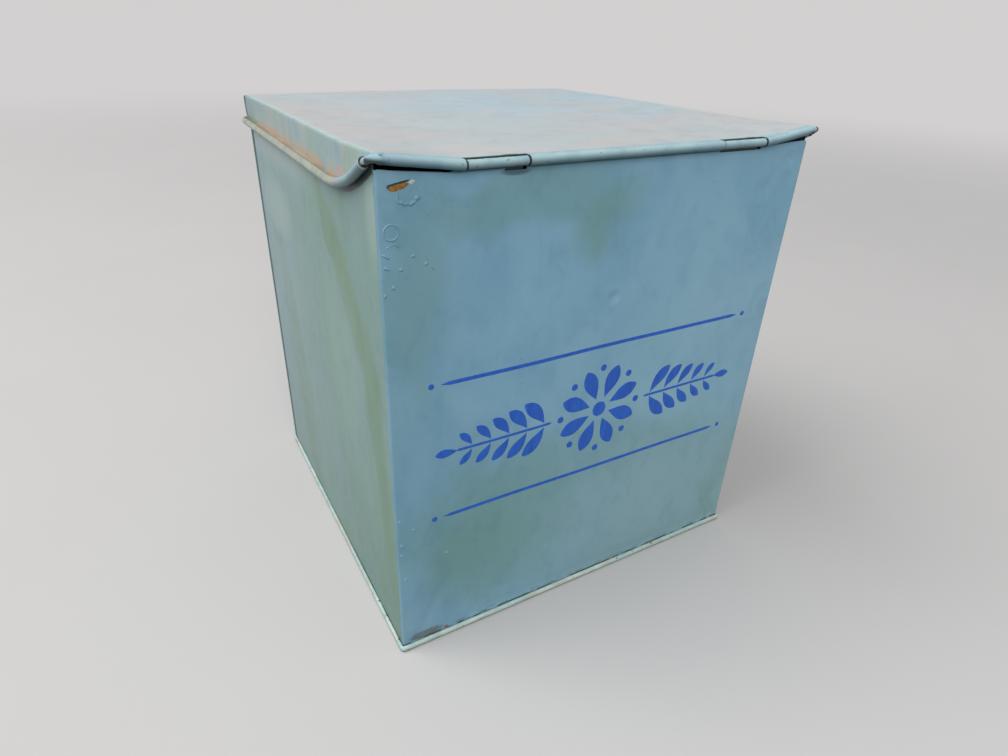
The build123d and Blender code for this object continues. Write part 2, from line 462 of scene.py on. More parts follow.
patchSet = {
    # soft patches in the paint: place, reach, turn, softness, strength
    "frontPale": [((70, 150), (60, 90), 0, 1.0, 0.6)],
    "frontGreen": [
        ((-46, 256), (58, 15), 0, 0.9, 0.6),
        ((-12, 246), (24, 22), 60, 0.9, 0.55),
        ((-62, 74), (52, 52), 0, 1.0, 0.85),
        ((-112, 215), (14, 50), 0, 0.9, 0.4),
        ((10, 96), (80, 26), 0, 1.0, 0.5),
        ((122, 34), (16, 40), 0, 1.0, 0.7),
    ],
    "frontOlive": [((-10, 243), (12, 14), 0, 0.95, 0.3), ((-76, 56), (24, 26), 0, 1.0, 0.3)],
    # painted shade on the crease's pushed-in facet
    "creaseShade": [((116, 16), (7, 15), 28, 0.7, 0.6)],
    "footStain": [((-112, 6.6), (11, 2.6), 0, 0.6, 0.65)],
    "footChip": [((-99, 5.2), (1.5, 0.9), 10, 0.4, 1.0)],
    # painted shade at the foot of the left strap's slot
    "slotShadow": [((-62.5, 271.6), (7, 1.7), 0, 0.7, 0.6)],
    "sideOlive": [
        ((-70, 214), (58, 13), 50, 0.8, 1.0),
        ((-108, 125), (11, 75), -3, 0.8, 0.85),
        ((60, 80), (20, 90), -6, 0.9, 0.5),
    ],
    "sideLight": [((-56, 160), (30, 55), 10, 0.95, 0.3)],
    "sideHighLight": [((72, 217), (34, 18), 0, 0.9, 0.6)],
    "backOlive": [((40, 60), (50, 30), 20, 1.0, 0.5)],
    "lidCool": [((60, 50), (120, 100), 0, 0.9, 1.0)],
    "skirtPink": [((-84, 268.5), (7, 3), -20, 0.8, 0.6)],
}

rollCurve = {
    "level": 262.5,
    "start": -69.0,
    "bend": 176,
}


def rollHeight(finish):
    # Height of the wire along the side of the lid: level, then curving up to the hinge corner.
    run = (rollCurve["start"] - finish.y).atLeast(0)
    return run * run / rollCurve["bend"] + rollCurve["level"]


def footGrime(finish):
    # Dirt and bare flecks in the angle above the foot.
    z = finish.z
    grains = finish.grain((7, 7, 2.4), 3, 0.6, shift=7).rise(0.44, 0.62)
    line = z.rise(5.0, 4.1) * finish.grain((11, 11, 30), 2, 0.5, shift=27).rise(0.4, 0.5)
    return (z.rise(8.4, 4.2) * grains * 0.5).atLeast(line * 0.9)


def frontPaint():
    finish = Finish("frontPaint", {"Specular IOR Level": 0.36})
    look = bodyLook
    x, z = finish.x, finish.z
    drift = (finish.grain((40, 40, 55), 3, 0.5, 0.6) - 0.5) * 44
    ax = x + drift
    az = z + (finish.grain((36, 36, 44), 3, 0.5, 0.6, shift=3) - 0.5) * 50
    coat = Coat(finish, (drift / 30 + 0.5).rise(0.2, 0.9), look["blue"], look["deepBlue"])
    coat.over(finish.blots(ax, az, "frontPale"), look["paleBlue"])
    coat.over(finish.blots(ax, az, "frontGreen"), look["teal"])
    # olive patches, and painted shade on the pushed-in facet of the crease at the lower right corner
    olivesAndCreaseShade = finish.blots(ax, az, "frontOlive").atLeast(finish.blots(x, z, "creaseShade"))
    coat.over(olivesAndCreaseShade, look["olive"])
    coat.over(az.rise(150, 50) * ax.rise(-100, 40) * 0.75, look["dusty"])
    # darker towards the left edge, the top and the foot
    darkerEdges = x.rise(-50, -128) * 0.45
    darkerEdges = darkerEdges.atLeast(z.rise(262, 276) * 0.25).atLeast(z.rise(40, 4) * 0.3)
    coat.shade(darkerEdges, look["darkerEdges"])
    coat.over(footGrime(finish), look["dark"])
    # a brown stain over the foot near the left corner
    ragged = z + (finish.grain(3, 2, shift=40) - 0.5) * 3
    coat.over(finish.blots(x, ragged, "footStain"), look["footStain"])
    coat.over(finish.blots(x, z, "footChip"), look["footChip"])
    # painted shadow along the top of the wall under the hinge roll, and at the foot of the left strap's slot
    hingeRollShadow = z.rise(272.3, 273.7) * abs(x).rise(98, 90) * 0.9
    coat.over(finish.blots(x, z, "slotShadow").atLeast(hingeRollShadow), look["rollShadow"])
    # a painted highlight along the right edge, under the lid's corner
    coat.over(x.rise(126.2, 126.7) * z.rise(258, 262) * 0.8, look["edgeHighlight"])
    # the paint is worn through along the rim
    worn = z.rise(274.6, 276.1) * finish.grain((5, 5, 1.6), 3, 0.6, shift=33).rise(0.46, 0.56)
    coat.over(worn * 0.6, look["bare"])
    return coat.brushed(0.5, (2.2, 2.2, 26))


def sidePaint(name, shift):
    finish = Finish(name, {"Specular IOR Level": 0.4})
    look = bodyLook
    y, z = finish.y, finish.z
    drift = (finish.grain((30, 30, 90), 3, 0.5, 0.4, shift=shift) - 0.5) * 40
    ay = y + drift
    coat = Coat(finish, (drift / 26 + 0.5).rise(0.15, 0.85), look["sideGrey"], look["sideMint"])
    coat.over(ay.rise(10, 70) * 0.7, look["sideBlue"])
    coat.over(finish.blots(ay, z, "sideOlive") * 0.75, look["sideOlive"])
    under = z - rollHeight(finish)
    # painted light: a pale glare in the middle, a lit strip at the front top corner, a paler band under the
    # lid's rolled edge and a lit patch high at the back
    light = (y.rise(-108, -121) * z.rise(225, 255)).atLeast(finish.blots(ay, z, "sideLight"))
    light = light.atLeast(under.rise(-24, -6) * y.rise(-40, 10))
    light = light.atLeast(finish.blots(y, z, "sideHighLight"))
    coat.over(light * 0.8, look["sideLitPale"])
    # darker towards the foot, and painted shade just under the lid's rolled edge towards the front
    dim = z.rise(34, 4) * 0.25 + z.rise(150, 20) * 0.6
    dim = dim.atLeast(under.rise(-9, -4) * y.rise(-30, -60) * 0.3)
    coat.shade(dim, look["sideShade"])
    # greener and darker towards the front
    coat.shade(y.rise(30, -70), look["greener"])
    coat.shade(y.rise(20, -90) * z.rise(110, 20) * 0.6, look["lowGreener"])
    # painted shadow on the wall under the lid's sloping rolled edge
    rollShadow = under.rise(-4.8, -3.6) * under.rise(1.5, -1.5) * y.rise(-66, -96) * 0.85
    coat.over(rollShadow, look["sideRollShadow"])
    coat.over(footGrime(finish) * (y.rise(20, -70) * 0.6 + 0.4), look["dark"])
    return coat.brushed(0.47, (2.0, 2.0, 30))


def backPaint():
    finish = Finish("backPaint", {"Specular IOR Level": 0.38})
    look = bodyLook
    x, z = finish.x, finish.z
    drift = (finish.grain((60, 60, 90), 2, 0.5, 0.5, shift=13) - 0.5) * 2
    coat = Coat(finish, (drift + 0.5).rise(0.0, 1.0) * 0.6, look["blue"], look["teal"])
    coat.over(finish.blots(x, z, "backOlive"), look["sideOlive"])
    # the turned edges that lie on the side walls
    coat.over(abs(x).rise(126.9, 127.15) * 0.9, look["seam"])
    coat.over(footGrime(finish), look["dark"])
    return coat.brushed(0.48, (2.2, 2.2, 26))


lidLook = {
    "pale": tone(191, 199, 200),
    "rosy": tone(200, 197, 195),
    "blue": tone(180, 202, 212),
    "varnish": tone(168, 176, 174),
    "skirtGrey": tone(172, 187, 183),
    "skirtBlue": tone(154, 184, 188),
    "skirtGreen": tone(158, 182, 162),
    "skirtRosy": tone(194, 180, 172),
    "skirtFar": tone(140, 164, 162),
    "skirtRun": tone(126, 142, 142),
    "skirtSpot": tone(96, 112, 112),
    # worn paint and painted highlight along the top's edge
    "edge": tone(196, 214, 214),
    "bead": tone(150, 184, 196),
    "beadPale": tone(180, 188, 174),
    "beadCream": tone(166, 176, 164),
    "beadWorn": tone(196, 186, 160),
    "beadLip": tone(214, 222, 220),
    "mint": tone(164, 198, 202),
    "orange": tone(206, 168, 138),
    "pink": tone(206, 172, 164),
    "yellow": tone(152, 160, 116),
    "crevice": tone(112, 102, 88),
    # dirt, and painted shade under the corner bends and in the gaps at the straps
    "dirtAndShade": tone(48, 56, 56),
    # painted shade behind the straps' loops
    "loopShadow": tone(14, 17, 17),
    # these darken what they lie on
    "rollShade": (0.26, 0.36, 0.40, 1),
    "beadShade": (0.34, 0.42, 0.45, 1),
    "beadTopTint": (0.74, 0.74, 0.70, 1),
}


def skirtColor(finish):
    # Upright streaks of several colours.
    look = lidLook
    x, y, z = finish.x, finish.y, finish.z
    streaks = finish.grain((30, 30, 90), 1, 0.4, shift=4)
    side = Coat(finish, streaks.rise(0.3, 0.66), look["skirtGrey"], look["skirtBlue"])
    green = finish.grain((20, 20, 50), 1, 0.4, shift=24).rise(0.42, 0.68)
    side.over(green * 0.6, look["skirtGreen"])
    rosy = finish.grain((16, 16, 40), 1, 0.4, shift=34).rise(0.46, 0.70)
    side.over(rosy * 0.22, look["skirtRosy"])
    side.over(y.rise(70, 110) * 0.6, look["skirtFar"])
    runs = finish.grain((5, 5, 40), 1, 0.5, shift=54).rise(0.50, 0.76)
    side.over(runs * 0.12, look["skirtRun"])
    spots = finish.grain((2.4, 2.4, 3.4), 1, 0.5, shift=58).rise(0.70, 0.74)
    side.over(spots * 0.4, look["skirtSpot"])
    # old varnish has run down and gathered over the rolled edge
    above = z - rollHeight(finish) + (finish.grain((5, 5, 9), 3, 0.6, shift=73) - 0.5) * 5
    gathered = above.rise(9.5, 3.0) * finish.grain((16, 16, 20), 3, 0.6, shift=19).rise(0.30, 0.52)
    side.over(gathered * y.rise(100, 84) * y.rise(-86, -70) * 0.7, look["orange"])
    side.over(above.rise(6, 2.4) * y.rise(84, 104) * abs(x).rise(124, 127) * 0.7, look["yellow"])
    side.over(finish.blots(y, z, "skirtPink"), look["pink"])
    return side.color


def lidPaint():
    finish = Finish("lidPaint", {"Specular IOR Level": 0.42})
    look = lidLook
    x, y, z = finish.x, finish.y, finish.z
    wipes = finish.grain((80, 34, 40), 2, 0.5, 0.5, shift=2)
    coat = Coat(finish, wipes.rise(0.4, 0.62), look["pale"], look["rosy"])
    cool = finish.blots(x, y, "lidCool") * finish.grain((50, 24, 30), 3, 0.5, 0.6).rise(0.3, 0.58)
    coat.over(cool * 0.8, look["blue"])
    # mottled film of old varnish
    film = finish.grain((26, 15, 20), 5, 0.68, 0.9, shift=44)
    coat.over(film.rise(0.52, 0.66) * 0.16, look["varnish"])
    # rubbed pale along the edge of the top, with a painted highlight on its fold into the skirts
    wornLitRim = (-x).rise(123.4, 126.4).atLeast(x.rise(123.4, 126.4) * 0.3).atLeast(y.rise(122.6, 124.6) * 0.3)
    wornLitRim = wornLitRim * finish.grain((6, 6, 6), 3, 0.6, shift=12).rise(0.3, 0.5)
    coat.over(wornLitRim * 0.6, look["edge"])
    # the hinge roll is bluer, with painted shade on its lower side
    turned = y.rise(-123.0, -125.4)
    tint = finish.blend(finish.grain((14, 9, 9), 3, shift=61).rise(0.36, 0.62), look["bead"], look["mint"])
    coat.over(turned * 0.85, tint)
    low = z - ((abs(x) - 89).atLeast(0) * 0.13 + hingePlace[2])
    coat.shade(turned * low.rise(1.9, -1.7) * 0.95, look["rollShade"])
    # painted shadow: the bend at each corner is black below
    bendShadow = abs(x).rise(120, 126.5) * y.rise(-123.0, -124.0) * low.rise(0.3, -1.1)
    coat.over(bendShadow * 0.9, look["dirtAndShade"])
    chips = turned * finish.grain((3.2, 2, 2), 3, 0.6, shift=71).rise(0.66, 0.70)
    coat.over(chips * 0.7, look["dirtAndShade"])
    # painted shade in the gaps at the straps, and a dark blot beside each
    for span in notchSet.values():
        half = (span[1] - span[0]) / 2
        off = abs(x - (span[0] + half)) - half
        gap = off.rise(0.1, -0.1) * y.rise(-124.2, -124.7)
        gap = gap.atLeast(abs(off).rise(0.45, 0.2) * y.rise(-124.4, -125.0))
        gap = gap.atLeast(finish.blot(x, y, (span[0] + half * 1.5, -124.3), (4, 0.8), 0, 0.5))
        coat.over(gap * 0.9, look["dirtAndShade"])
    skirt = (abs(x).rise(127.2, 127.9) * y.rise(-126.5, -125.5)).atLeast(y.rise(124.9, 125.5))
    coat.over(skirt, skirtColor(finish))
    return coat.brushed(0.45, (18, 10, 18))


def beadPaint():
    finish = Finish("beadPaint", {"Specular IOR Level": 0.42})
    look = lidLook
    x, y, z = finish.x, finish.y, finish.z
    patchy = finish.grain((12, 12, 12), 3).rise(0.4, 0.6)
    coat = Coat(finish, patchy, look["beadCream"], look["beadPale"])
    worn = finish.grain((20, 20, 20), 3, 0.6, shift=18).rise(0.47, 0.6)
    coat.over(worn * 0.5, look["beadWorn"])
    # bluer at the hinge end and on the straps
    inner = abs(x).rise(101, 99)
    blue = y.rise(-74, -96).atLeast(inner)
    coat.over(blue * 0.85, finish.blend(patchy, look["bead"], look["mint"]))
    side = abs(x).rise(127, 128)
    under = z - rollHeight(finish) * side - (1 - side) * hingePlace[2]
    # painted shade on the lower side of the rolled edge and of the straps' loops
    shaded = under.rise(1.7, -1.8) * (y.rise(-60, -96).atLeast(1 - side) * 0.75 + 0.2)
    coat.shade(shaded, look["beadShade"])
    # darker over the top of the rolled edge along the sides
    coat.shade(under.rise(0.5, 1.7) * side * y.rise(-100, -76) * 0.7, look["beadTopTint"])
    coat.over(side * y.rise(-122.5, -122.9) * 0.8, look["beadLip"])
    chips = finish.grain((3, 3, 1.6), 2, 0.6, shift=31).rise(0.66, 0.72)
    coat.over(chips * 0.6, bodyLook["rust"])
    # painted shade behind and beneath the straps' loops
    behind = y.rise(-126.9, -126.3) * y.rise(-123.2, -124.2) * inner
    beneath = z.rise(hingePlace[2] - 1.4, hingePlace[2] - 2.1) * inner * 0.4
    coat.over(behind.atLeast(beneath) * 0.95, look["loopShadow"])
    return coat.brushed(0.4, (12, 12, 3))


def rimPaint():
    # Paint, rust and dirt in the angle between the rolled edge and the skirt.
    finish = Finish("rimPaint", {"Specular IOR Level": 0.15})
    look = lidLook
    y = finish.y
    patchy = finish.grain((9, 9, 5), 3, 0.6)
    coat = Coat(finish, patchy.rise(0.42, 0.6), look["skirtGrey"], look["beadWorn"])
    stain = y.rise(104, 84) * y.rise(-96, -72)
    ragged = finish.grain((22, 26, 6), 3, 0.55, shift=19)
    coat.over(stain * ragged.rise(0.36, 0.54) * 0.8, look["orange"])
    far = y.rise(84, 104) * abs(finish.x).rise(124, 127)
    coat.over(far * ragged.rise(0.35, 0.5) * 0.8, look["yellow"])
    # the sheet's edge leaves a dark line
    up = finish.z - rollHeight(finish) + (finish.grain((22, 22, 9), 2, 0.5, shift=37) - 0.5) * 0.5
    coat.over(up.rise(2.9, 1.9) * 0.5, look["crevice"])
    dark = finish.grain((40, 44, 12), 2, 0.5, shift=29).rise(0.34, 0.62)
    coat.over(dark * 0.45, look["crevice"])
    return coat.brushed(0.8, (8, 8, 3), ragged * 0.2)


footLook = {
    "pale": tone(196, 214, 204),
    "mint": tone(166, 196, 192),
    "worn": tone(190, 186, 164),
    # painted shade on the underside of the foot's seam
    "dirtAndShade": tone(78, 88, 86),
}


def footPaint():
    finish = Finish("footPaint", {"Specular IOR Level": 0.42})
    look = footLook
    coat = Coat(finish, finish.grain((10, 10, 6), 3).rise(0.35, 0.65), look["pale"], look["mint"])
    coat.over(finish.grain((16, 16, 6), 3, shift=3).rise(0.5, 0.64) * 0.6, look["worn"])
    # painted shade on the underside of the foot's seam, towards the floor
    coat.over(finish.z.rise(1.9, 0.7) * 0.85, look["dirtAndShade"])
    chips = finish.grain((5, 5, 2), 2, 0.6, shift=31).rise(0.65, 0.70)
    coat.over(chips * 0.8, bodyLook["rust"])
    return coat.brushed(0.42, (10, 10, 3))


# painted shade behind the slits, on the straps' inner side and on the chip's lip
paintedShadeLook = {
    "dark": tone(34, 46, 48),
    "lighter": tone(58, 72, 72),
    "strap": tone(10, 12, 12),
}


def paintedShadeDark():
    # Painted shade: dark on the tabs seen through the slits of the lid and on the paint chip's lip, black on
    # the straps' inner side.
    finish = Finish("paintedShadeDark", {"Specular IOR Level": 0.3})
    coat = Coat(finish, finish.grain((3, 3, 4), 3).rise(0.35, 0.65), paintedShadeLook["dark"], paintedShadeLook["lighter"])
    coat.over(abs(finish.x).rise(101, 99) * 0.9, paintedShadeLook["strap"])
    return coat.brushed(0.6, (3, 3, 12))


metalLook = {
    "tin": tone(168, 168, 164),
    "tinCloud": tone(146, 145, 140),
    "tinRust": tone(120, 88, 62),
    # painted shade inside the rolled edges' mouths
    "mouthShade": tone(12, 14, 14),
    "solder": tone(176, 178, 180),
    "solderLow": tone(128, 130, 132),
    "steel": tone(96, 96, 94),
    "steelRust": tone(70, 56, 46),
}


def tinplate():
    finish = Finish("tinplate", {"Specular IOR Level": 0.5})
    look = metalLook
    cloud = finish.grain(34, 4, 0.55, 0.2)
    fleck = finish.grain(3.2, 3, 0.6, shift=8)
    coat = Coat(finish, cloud.rise(0.3, 0.7), look["tin"], look["tinCloud"])
    rust = (cloud * 0.6 + fleck * 0.5).rise(0.63, 0.72)
    coat.over(rust, look["tinRust"])
    # painted shade: black inside the mouths of the rolled edges
    mouth = finish.y.rise(-120.5, -121.5) * abs(finish.x).rise(126, 127)
    coat.over(mouth * 0.9, look["mouthShade"])
    metal = (0.85 - rust * 0.8) * (1 - mouth)
    return finish.feedAll(coat.color, 0.34 + cloud * 0.2 + rust * 0.3, fleck * 0.03 + rust * 0.02, metal)


def solderMetal():
    finish = Finish("solderMetal", {})
    lump = finish.grain(2.6, 3, 0.5)
    color = finish.blend(lump.rise(0.3, 0.7), metalLook["solder"], metalLook["solderLow"])
    return finish.feedAll(color, 0.3 + lump * 0.35, lump * 0.25, 0.9 - lump * 0.2)


def steelWire():
    finish = Finish("steelWire", {})
    rust = finish.grain(5, 4, 0.6, 0.5)
    rusty = rust.rise(0.42, 0.6)
    color = finish.blend(rusty, metalLook["steel"], metalLook["steelRust"])
    return finish.feedAll(color, 0.35 + rust * 0.4, rust * 0.05, 0.9 - rusty * 0.7)


ornamentLook = {
    "cobalt": tone(30, 84, 180),
    "paler": tone(40, 100, 196),
}


def cobaltPaint():
    finish = Finish("cobaltPaint", {"Specular IOR Level": 0.45})
    strokes = finish.grain((3, 3, 14), 4, 0.6)
    coat = Coat(finish, strokes.rise(0.3, 0.7), ornamentLook["cobalt"], ornamentLook["paler"])
    worn = finish.grain(1.3, 3, 0.6, shift=6).rise(0.70, 0.76)
    coat.over(worn * 0.5, bodyLook["blue"])
    return finish.feedAll(coat.color, 0.38 + strokes * 0.18, strokes * 0.05)


chipSet = {
    # grain size, tones and where they part, shine, roughness, relief
    "chipOchre": (1.1, tone(162, 120, 58), tone(128, 90, 44), (0.35, 0.65), 0.3, 0.6, 0.1),
    "chipWhite": (1.0, tone(206, 206, 196), tone(176, 182, 176), (0.3, 0.7), 0.4, 0.5, 0.05),
}


def chipFinish(name):
    # Ochre ground colour and rust where the paint is off, and a white ground under its lip.
    size, light, dark, span, shine, rough, deep = chipSet[name]
    finish = Finish(name, {"Specular IOR Level": shine})
    grain = finish.grain(size, 3, 0.6)
    return finish.feedAll(finish.blend(grain.rise(*span), light, dark), rough + grain * 0.2, grain * deep)


frontFinish = frontPaint()
leftFinish = sidePaint("leftPaint", 1)
rightFinish = sidePaint("rightPaint", 17)
backFinish = backPaint()
lidFinish = lidPaint()
beadFinish = beadPaint()
rimFinish = rimPaint()
footFinish = footPaint()
paintedShadeFinish = paintedShadeDark()
tinFinish = tinplate()
solderFinish = solderMetal()
steelFinish = steelWire()
cobaltFinish = cobaltPaint()
print("finishes ready")


# Body walls

footSet = {
    # the folded seam round the foot
    "height": 3.8,
    "reach": 1.9,
    "round": 0.85,
    "wallRound": 0.6,
    "dome": 1.2,
    "wander": 0.16,
    # how often the edge sways on its way round, and the phase
    "sways": ((9, 0.3), (21, 1.4), (47, 2.2), (81, 0.9)),
    "flatRings": (0.0, 0.25, 0.5, 0.72, 0.88, 0.96),
}

frontRim = [
    # x, how far the rim lies above its usual height
    (-127, 0.2), (-125.5, 0.15), (-118.8, -0.85), (-111.5, -1.55), (-95.8, -3.05),
    (-92.8, -3.1), (-91.5, 0), (91.8, 0), (93.5, -2.7), (105, -2.35),
    (113, -1.75), (121, -1.5), (125.6, -1.6), (127.4, -2.5),
]

dentSet = {
    # x, z, reach, depth; x runs from the middle of the wall
    "front": [(0.8, 202, 3.2, 0.8), (116, 266, 4.5, 0.6), (98.5, 250, 5, 0.5), (-40, 225, 22, 0.4)],
    "back": [(30, 120, 9, 0.7), (-60, 210, 6, 0.5)],
    "left": [(20, 210, 12, 0.4), (-90, 40, 9, 0.4)],
    "right": [(-30, 150, 10, 0.6), (60, 60, 6, 0.5)],
}

waveSet = {
    # waves along and up, phase, height
    "front": [(1.5, 1.0, 0.4, 0.22), (2.5, 2.0, 1.9, 0.14), (0.7, 3.1, 0.3, 0.10)],
    "back": [(1.2, 1.6, 1.0, 0.25), (2.2, 2.7, 2.2, 0.12), (3.1, 0.8, 0.1, 0.10)],
    "left": [(1.4, 1.1, 2.4, 0.22), (2.8, 1.7, 0.6, 0.12), (0.9, 3.3, 1.2, 0.10)],
    "right": [(1.7, 0.9, 0.9, 0.22), (2.1, 2.4, 1.4, 0.14), (3.3, 1.4, 0.4, 0.08)],
}


creaseSet = {
    # the front's lower right corner, pushed in along a slanting line through a place
    "place": (101.5, 30.6),
    "slant": 0.57,
    "depth": 1.8,
    # a soft fold near the left corner
    "foldPlace": (-112, 18),
    "foldSlant": 0.5,
    "foldDepth": 0.5,
    # slack over the foot
    "slackLevel": 8.5,
    "slackDepth": 0.25,
}


def wallBulge(side, along, z):
    # How far the wall stands out of its plane: slow waves, dents and no change at its edges.
    along = np.asarray(along, float)
    z = np.asarray(z, float)
    out = np.zeros(np.broadcast(along, z).shape)
    for turns, rises, phase, height in waveSet[side]:
        out = out + height * np.sin(turns * along / 40 + phase) * np.sin(rises * z / 44 + 2 * phase)
    for place, level, reach, depth in dentSet[side]:
        far = ((along - place) ** 2 + (z - level) ** 2) / reach**2
        out = out - depth * np.exp(-far) + 0.35 * depth * np.exp(-((np.sqrt(far) - 1.5) ** 2) * 4)
    edge = ease(tin["halfWidth"] - np.abs(along), 0.5, 12) * ease(z, 5, 18) * ease(278 - z, 1, 10)
    out = out * edge
    if side == "front":
        look = creaseSet
        line = look["place"][0] + look["slant"] * (look["place"][1] - z)
        push = ease(along - line, -0.3, 5) * ease(128 - along, 0.8, 10)
        out = out - look["depth"] * (push * ease(z, 3.8, 7) * ease(50 - z, 2, 28))
        off = (along - look["foldPlace"][0]) - look["foldSlant"] * (z - look["foldPlace"][1])
        fold = np.exp(-(off**2) / 14) * ease(60 - z, 5, 40) * ease(z, 4, 9)
        out = out - look["foldDepth"] * fold
        slack = np.exp(-((z - look["slackLevel"]) ** 2) / 12) * ease(126 - np.abs(along), 1, 14)
        out = out - look["slackDepth"] * slack
    return out


def topShift(side, along, z):
    # The front wall's rim dips under the turned-up ends of the hinge edge.
    if side != "front":
        return np.zeros(np.broadcast(along, z).shape)
    spots, levels = zip(*frontRim)
    return np.interp(along, spots, levels) * ease(z, 262, 275.5)


def flare(z):
    # The upper right corner of the front is pressed outwards a little.
    return 0.5 * ease(z, 150, 262)


def wallRows(top, extra):
    # The wall's section: up from the foot, over the folded rim and down inside it.
    # Gives for each row its height, its depth behind the wall, and whether it is in the hem.
    radius = tin["hemRadius"]
    rise = places([1.0, *extra, top - tin["sheet"] / 2 - radius], tin["step"])
    rows = [(z, 0.0, False) for z in rise]
    for k in range(1, 8):
        a = math.pi * k / 8
        rows.append((rise[-1] + radius * math.sin(a), radius * (1 - math.cos(a)), True))
    for z in places([rise[-1], top - tin["hemDepth"]], 1.2):
        rows.append((z, 2 * radius, True))
    return rows


def cornerPlan(half, depth, wrap, stops):
    # Plan of a wall drawn at -Y, from its left end to its right end; both ends turn the corner.
    radius = tin["cornerRadius"]
    flat = places([-(half - radius), *stops, half - radius], tin["step"])
    plan = [(x, -depth) for x in flat]
    end = []
    for k in range(1, 7):
        a = math.pi / 2 * k / 6
        end.append((half - radius + radius * math.sin(a), -depth + radius * (1 - math.cos(a))))
    end.extend((half, -depth + radius + y) for y in np.linspace(0, wrap, 4)[1:])
    return np.array([(-x, y) for x, y in reversed(end)] + plan + end)


slotSet = {
    "low": hingePlace[2] - 2.33,
    "high": hingePlace[2] - 1.03,
    "left": (-88.9, -57.3),
    "right": (58.1, 90.6),
    "openLeft": (-68.3, -57.3, hingePlace[2] - 4.2),
    "openRight": (59.7, 90.4, hingePlace[2] - 4.1),
    "hemCut": 0.8,
}


def within(value, span, more=0.0):
    return (value > span[0] - more) & (value < span[1] + more)


def wallPiece(side, name, node, top, finishes, slots, lap, wrap):
    # Front and back walls with their turned corners, which stand over the side walls by lap
    # and turn onto them by wrap. The front has the strap slots.
    half = tin["halfWidth"] - tin["sheet"] / 2 + lap
    depth = tin["halfDepth"] - tin["sheet"] / 2
    stops = []
    extra = []
    if slots:
        for key in ("left", "right"):
            low, high = slots[key]
            stops += [low - slots["hemCut"], low, high, high + slots["hemCut"]]
        stops += [slots["openLeft"][0], *slots["openRight"][:2]]
        extra = [slots["openLeft"][2], slots["openRight"][2], slots["low"], slots["high"]]
    plan = cornerPlan(half, depth, wrap, sorted(set(stops)))
    rows = wallRows(top, extra)
    sign = 1 if side == "front" else -1
    points = np.zeros((len(rows), len(plan), 3))
    flat = np.abs(plan[:, 1] + depth) < 1e-6
    plainEnd = ~flat | (np.abs(plan[:, 0]) > half - 2.0)
    topRow = max(r[0] for r in rows)
    for i, (z, inside, hem) in enumerate(rows):
        bulge = wallBulge(side, plan[:, 0], z) * flat
        points[i, :, 0] = plan[:, 0]
        points[i, :, 1] = plan[:, 1] - bulge + inside
        points[i, :, 2] = z + topShift(side, plan[:, 0], z)
        if side == "front":
            points[i, :, 0] += flare(z) * ease(plan[:, 0], 100, 126)
        if hem:
            # the ends aren't folded over: their top is a plain edge
            points[i, plainEnd, 1] = (plan[:, 1] - bulge)[plainEnd]
            points[i, plainEnd, 2] = (z + topShift(side, plan[:, 0], topRow))[plainEnd]
    points[:, :, :2] *= sign
    level = np.array([r[0] for r in rows])
    middleZ = (level[:-1] + level[1:]) / 2
    middleX = (plan[:-1, 0] + plan[1:, 0]) / 2
    isHem = np.array([r[2] for r in rows])[1:]
    isDown = isHem & (np.diff(level) <= 1e-9)
    keep = np.ones((len(rows) - 1, len(plan) - 1), bool)
    cellEnd = plainEnd[:-1] | plainEnd[1:]
    keep &= ~(isDown[:, None] & cellEnd[None])
    if lap:
        cellTurned = ~(flat[:-1] & flat[1:])
        keep &= ~((middleZ < footSet["height"] + 0.5)[:, None] & cellTurned[None])
    if slots:
        for key, opened in (("left", "openLeft"), ("right", "openRight")):
            keep &= ~(isHem[:, None] & within(middleX, slots[key], slots["hemCut"])[None])
            tall = within(middleZ, (slots["low"], slots["high"])) & ~isHem
            keep &= ~(tall[:, None] & within(middleX, slots[key])[None])
            low = within(middleZ, (slots[opened][2], slots["low"])) & ~isHem
            keep &= ~(low[:, None] & within(middleX, slots[opened][:2])[None])
    patches = Patches()
    patches.grid(points, keep=keep)
    return sheetPiece(name, patches, tin["sheet"], finishes, "tin", [node])


flangeSet = {
    # lap flanges of the side walls, which lie inside the front and the back wall
    "width": 14,
    "inside": 0.86,
    "levels": (1.0, 70, 270.7),
    "steps": (0.9, 1.4),
}


def sidePiece(side, name, node, finishes):
    # Side walls between the turned corners of the front and the back.
    x = tin["halfWidth"] - tin["sheet"] / 2
    end = tin["halfDepth"] - 0.25 - tin["cornerRadius"] - tin["cornerWrap"]
    ys = places([-end + 0.12, tin["halfDepth"] - 0.7], tin["step"])
    rows = wallRows(tin["rimTop"], [])
    points = np.zeros((len(rows), len(ys), 3))
    for i, (z, inside, _) in enumerate(rows):
        points[i, :, 0] = -(x + wallBulge(side, ys, z) - inside)
        if side == "right":
            points[i, :, 0] -= flare(z) * ease(-ys, 60, 124)
        points[i, :, 1] = ys
        points[i, :, 2] = z
    isHem = np.array([r[2] for r in rows])[1:]
    middle = (ys[:-1] + ys[1:]) / 2
    keep = ~(isHem[:, None] & (np.abs(middle) > end - 1.0)[None])
    patches = Patches()
    if side == "right":
        points[:, :, 0] *= -1
    patches.grid(points, keep=keep, flip=side == "left")
    # lap flanges
    look = flangeSet
    inner = x - tin["sheet"] / 2
    flange = places([inner, inner - look["width"]], look["steps"][0])
    gx, gz = np.meshgrid(-flange if side == "left" else flange, places(look["levels"], look["steps"][1]))
    for wall, at in (("front", -1), ("back", 1)):
        bulge = wallBulge(wall, -at * gx, gz)
        lap = np.stack([gx, at * (tin["halfDepth"] - look["inside"] + bulge), gz], -1)
        patches.grid(lap, slot=1, flip=(side == "left") == (at > 0))
    return sheetPiece(name, patches, tin["sheet"] * 0.98, finishes, "tin", [node])


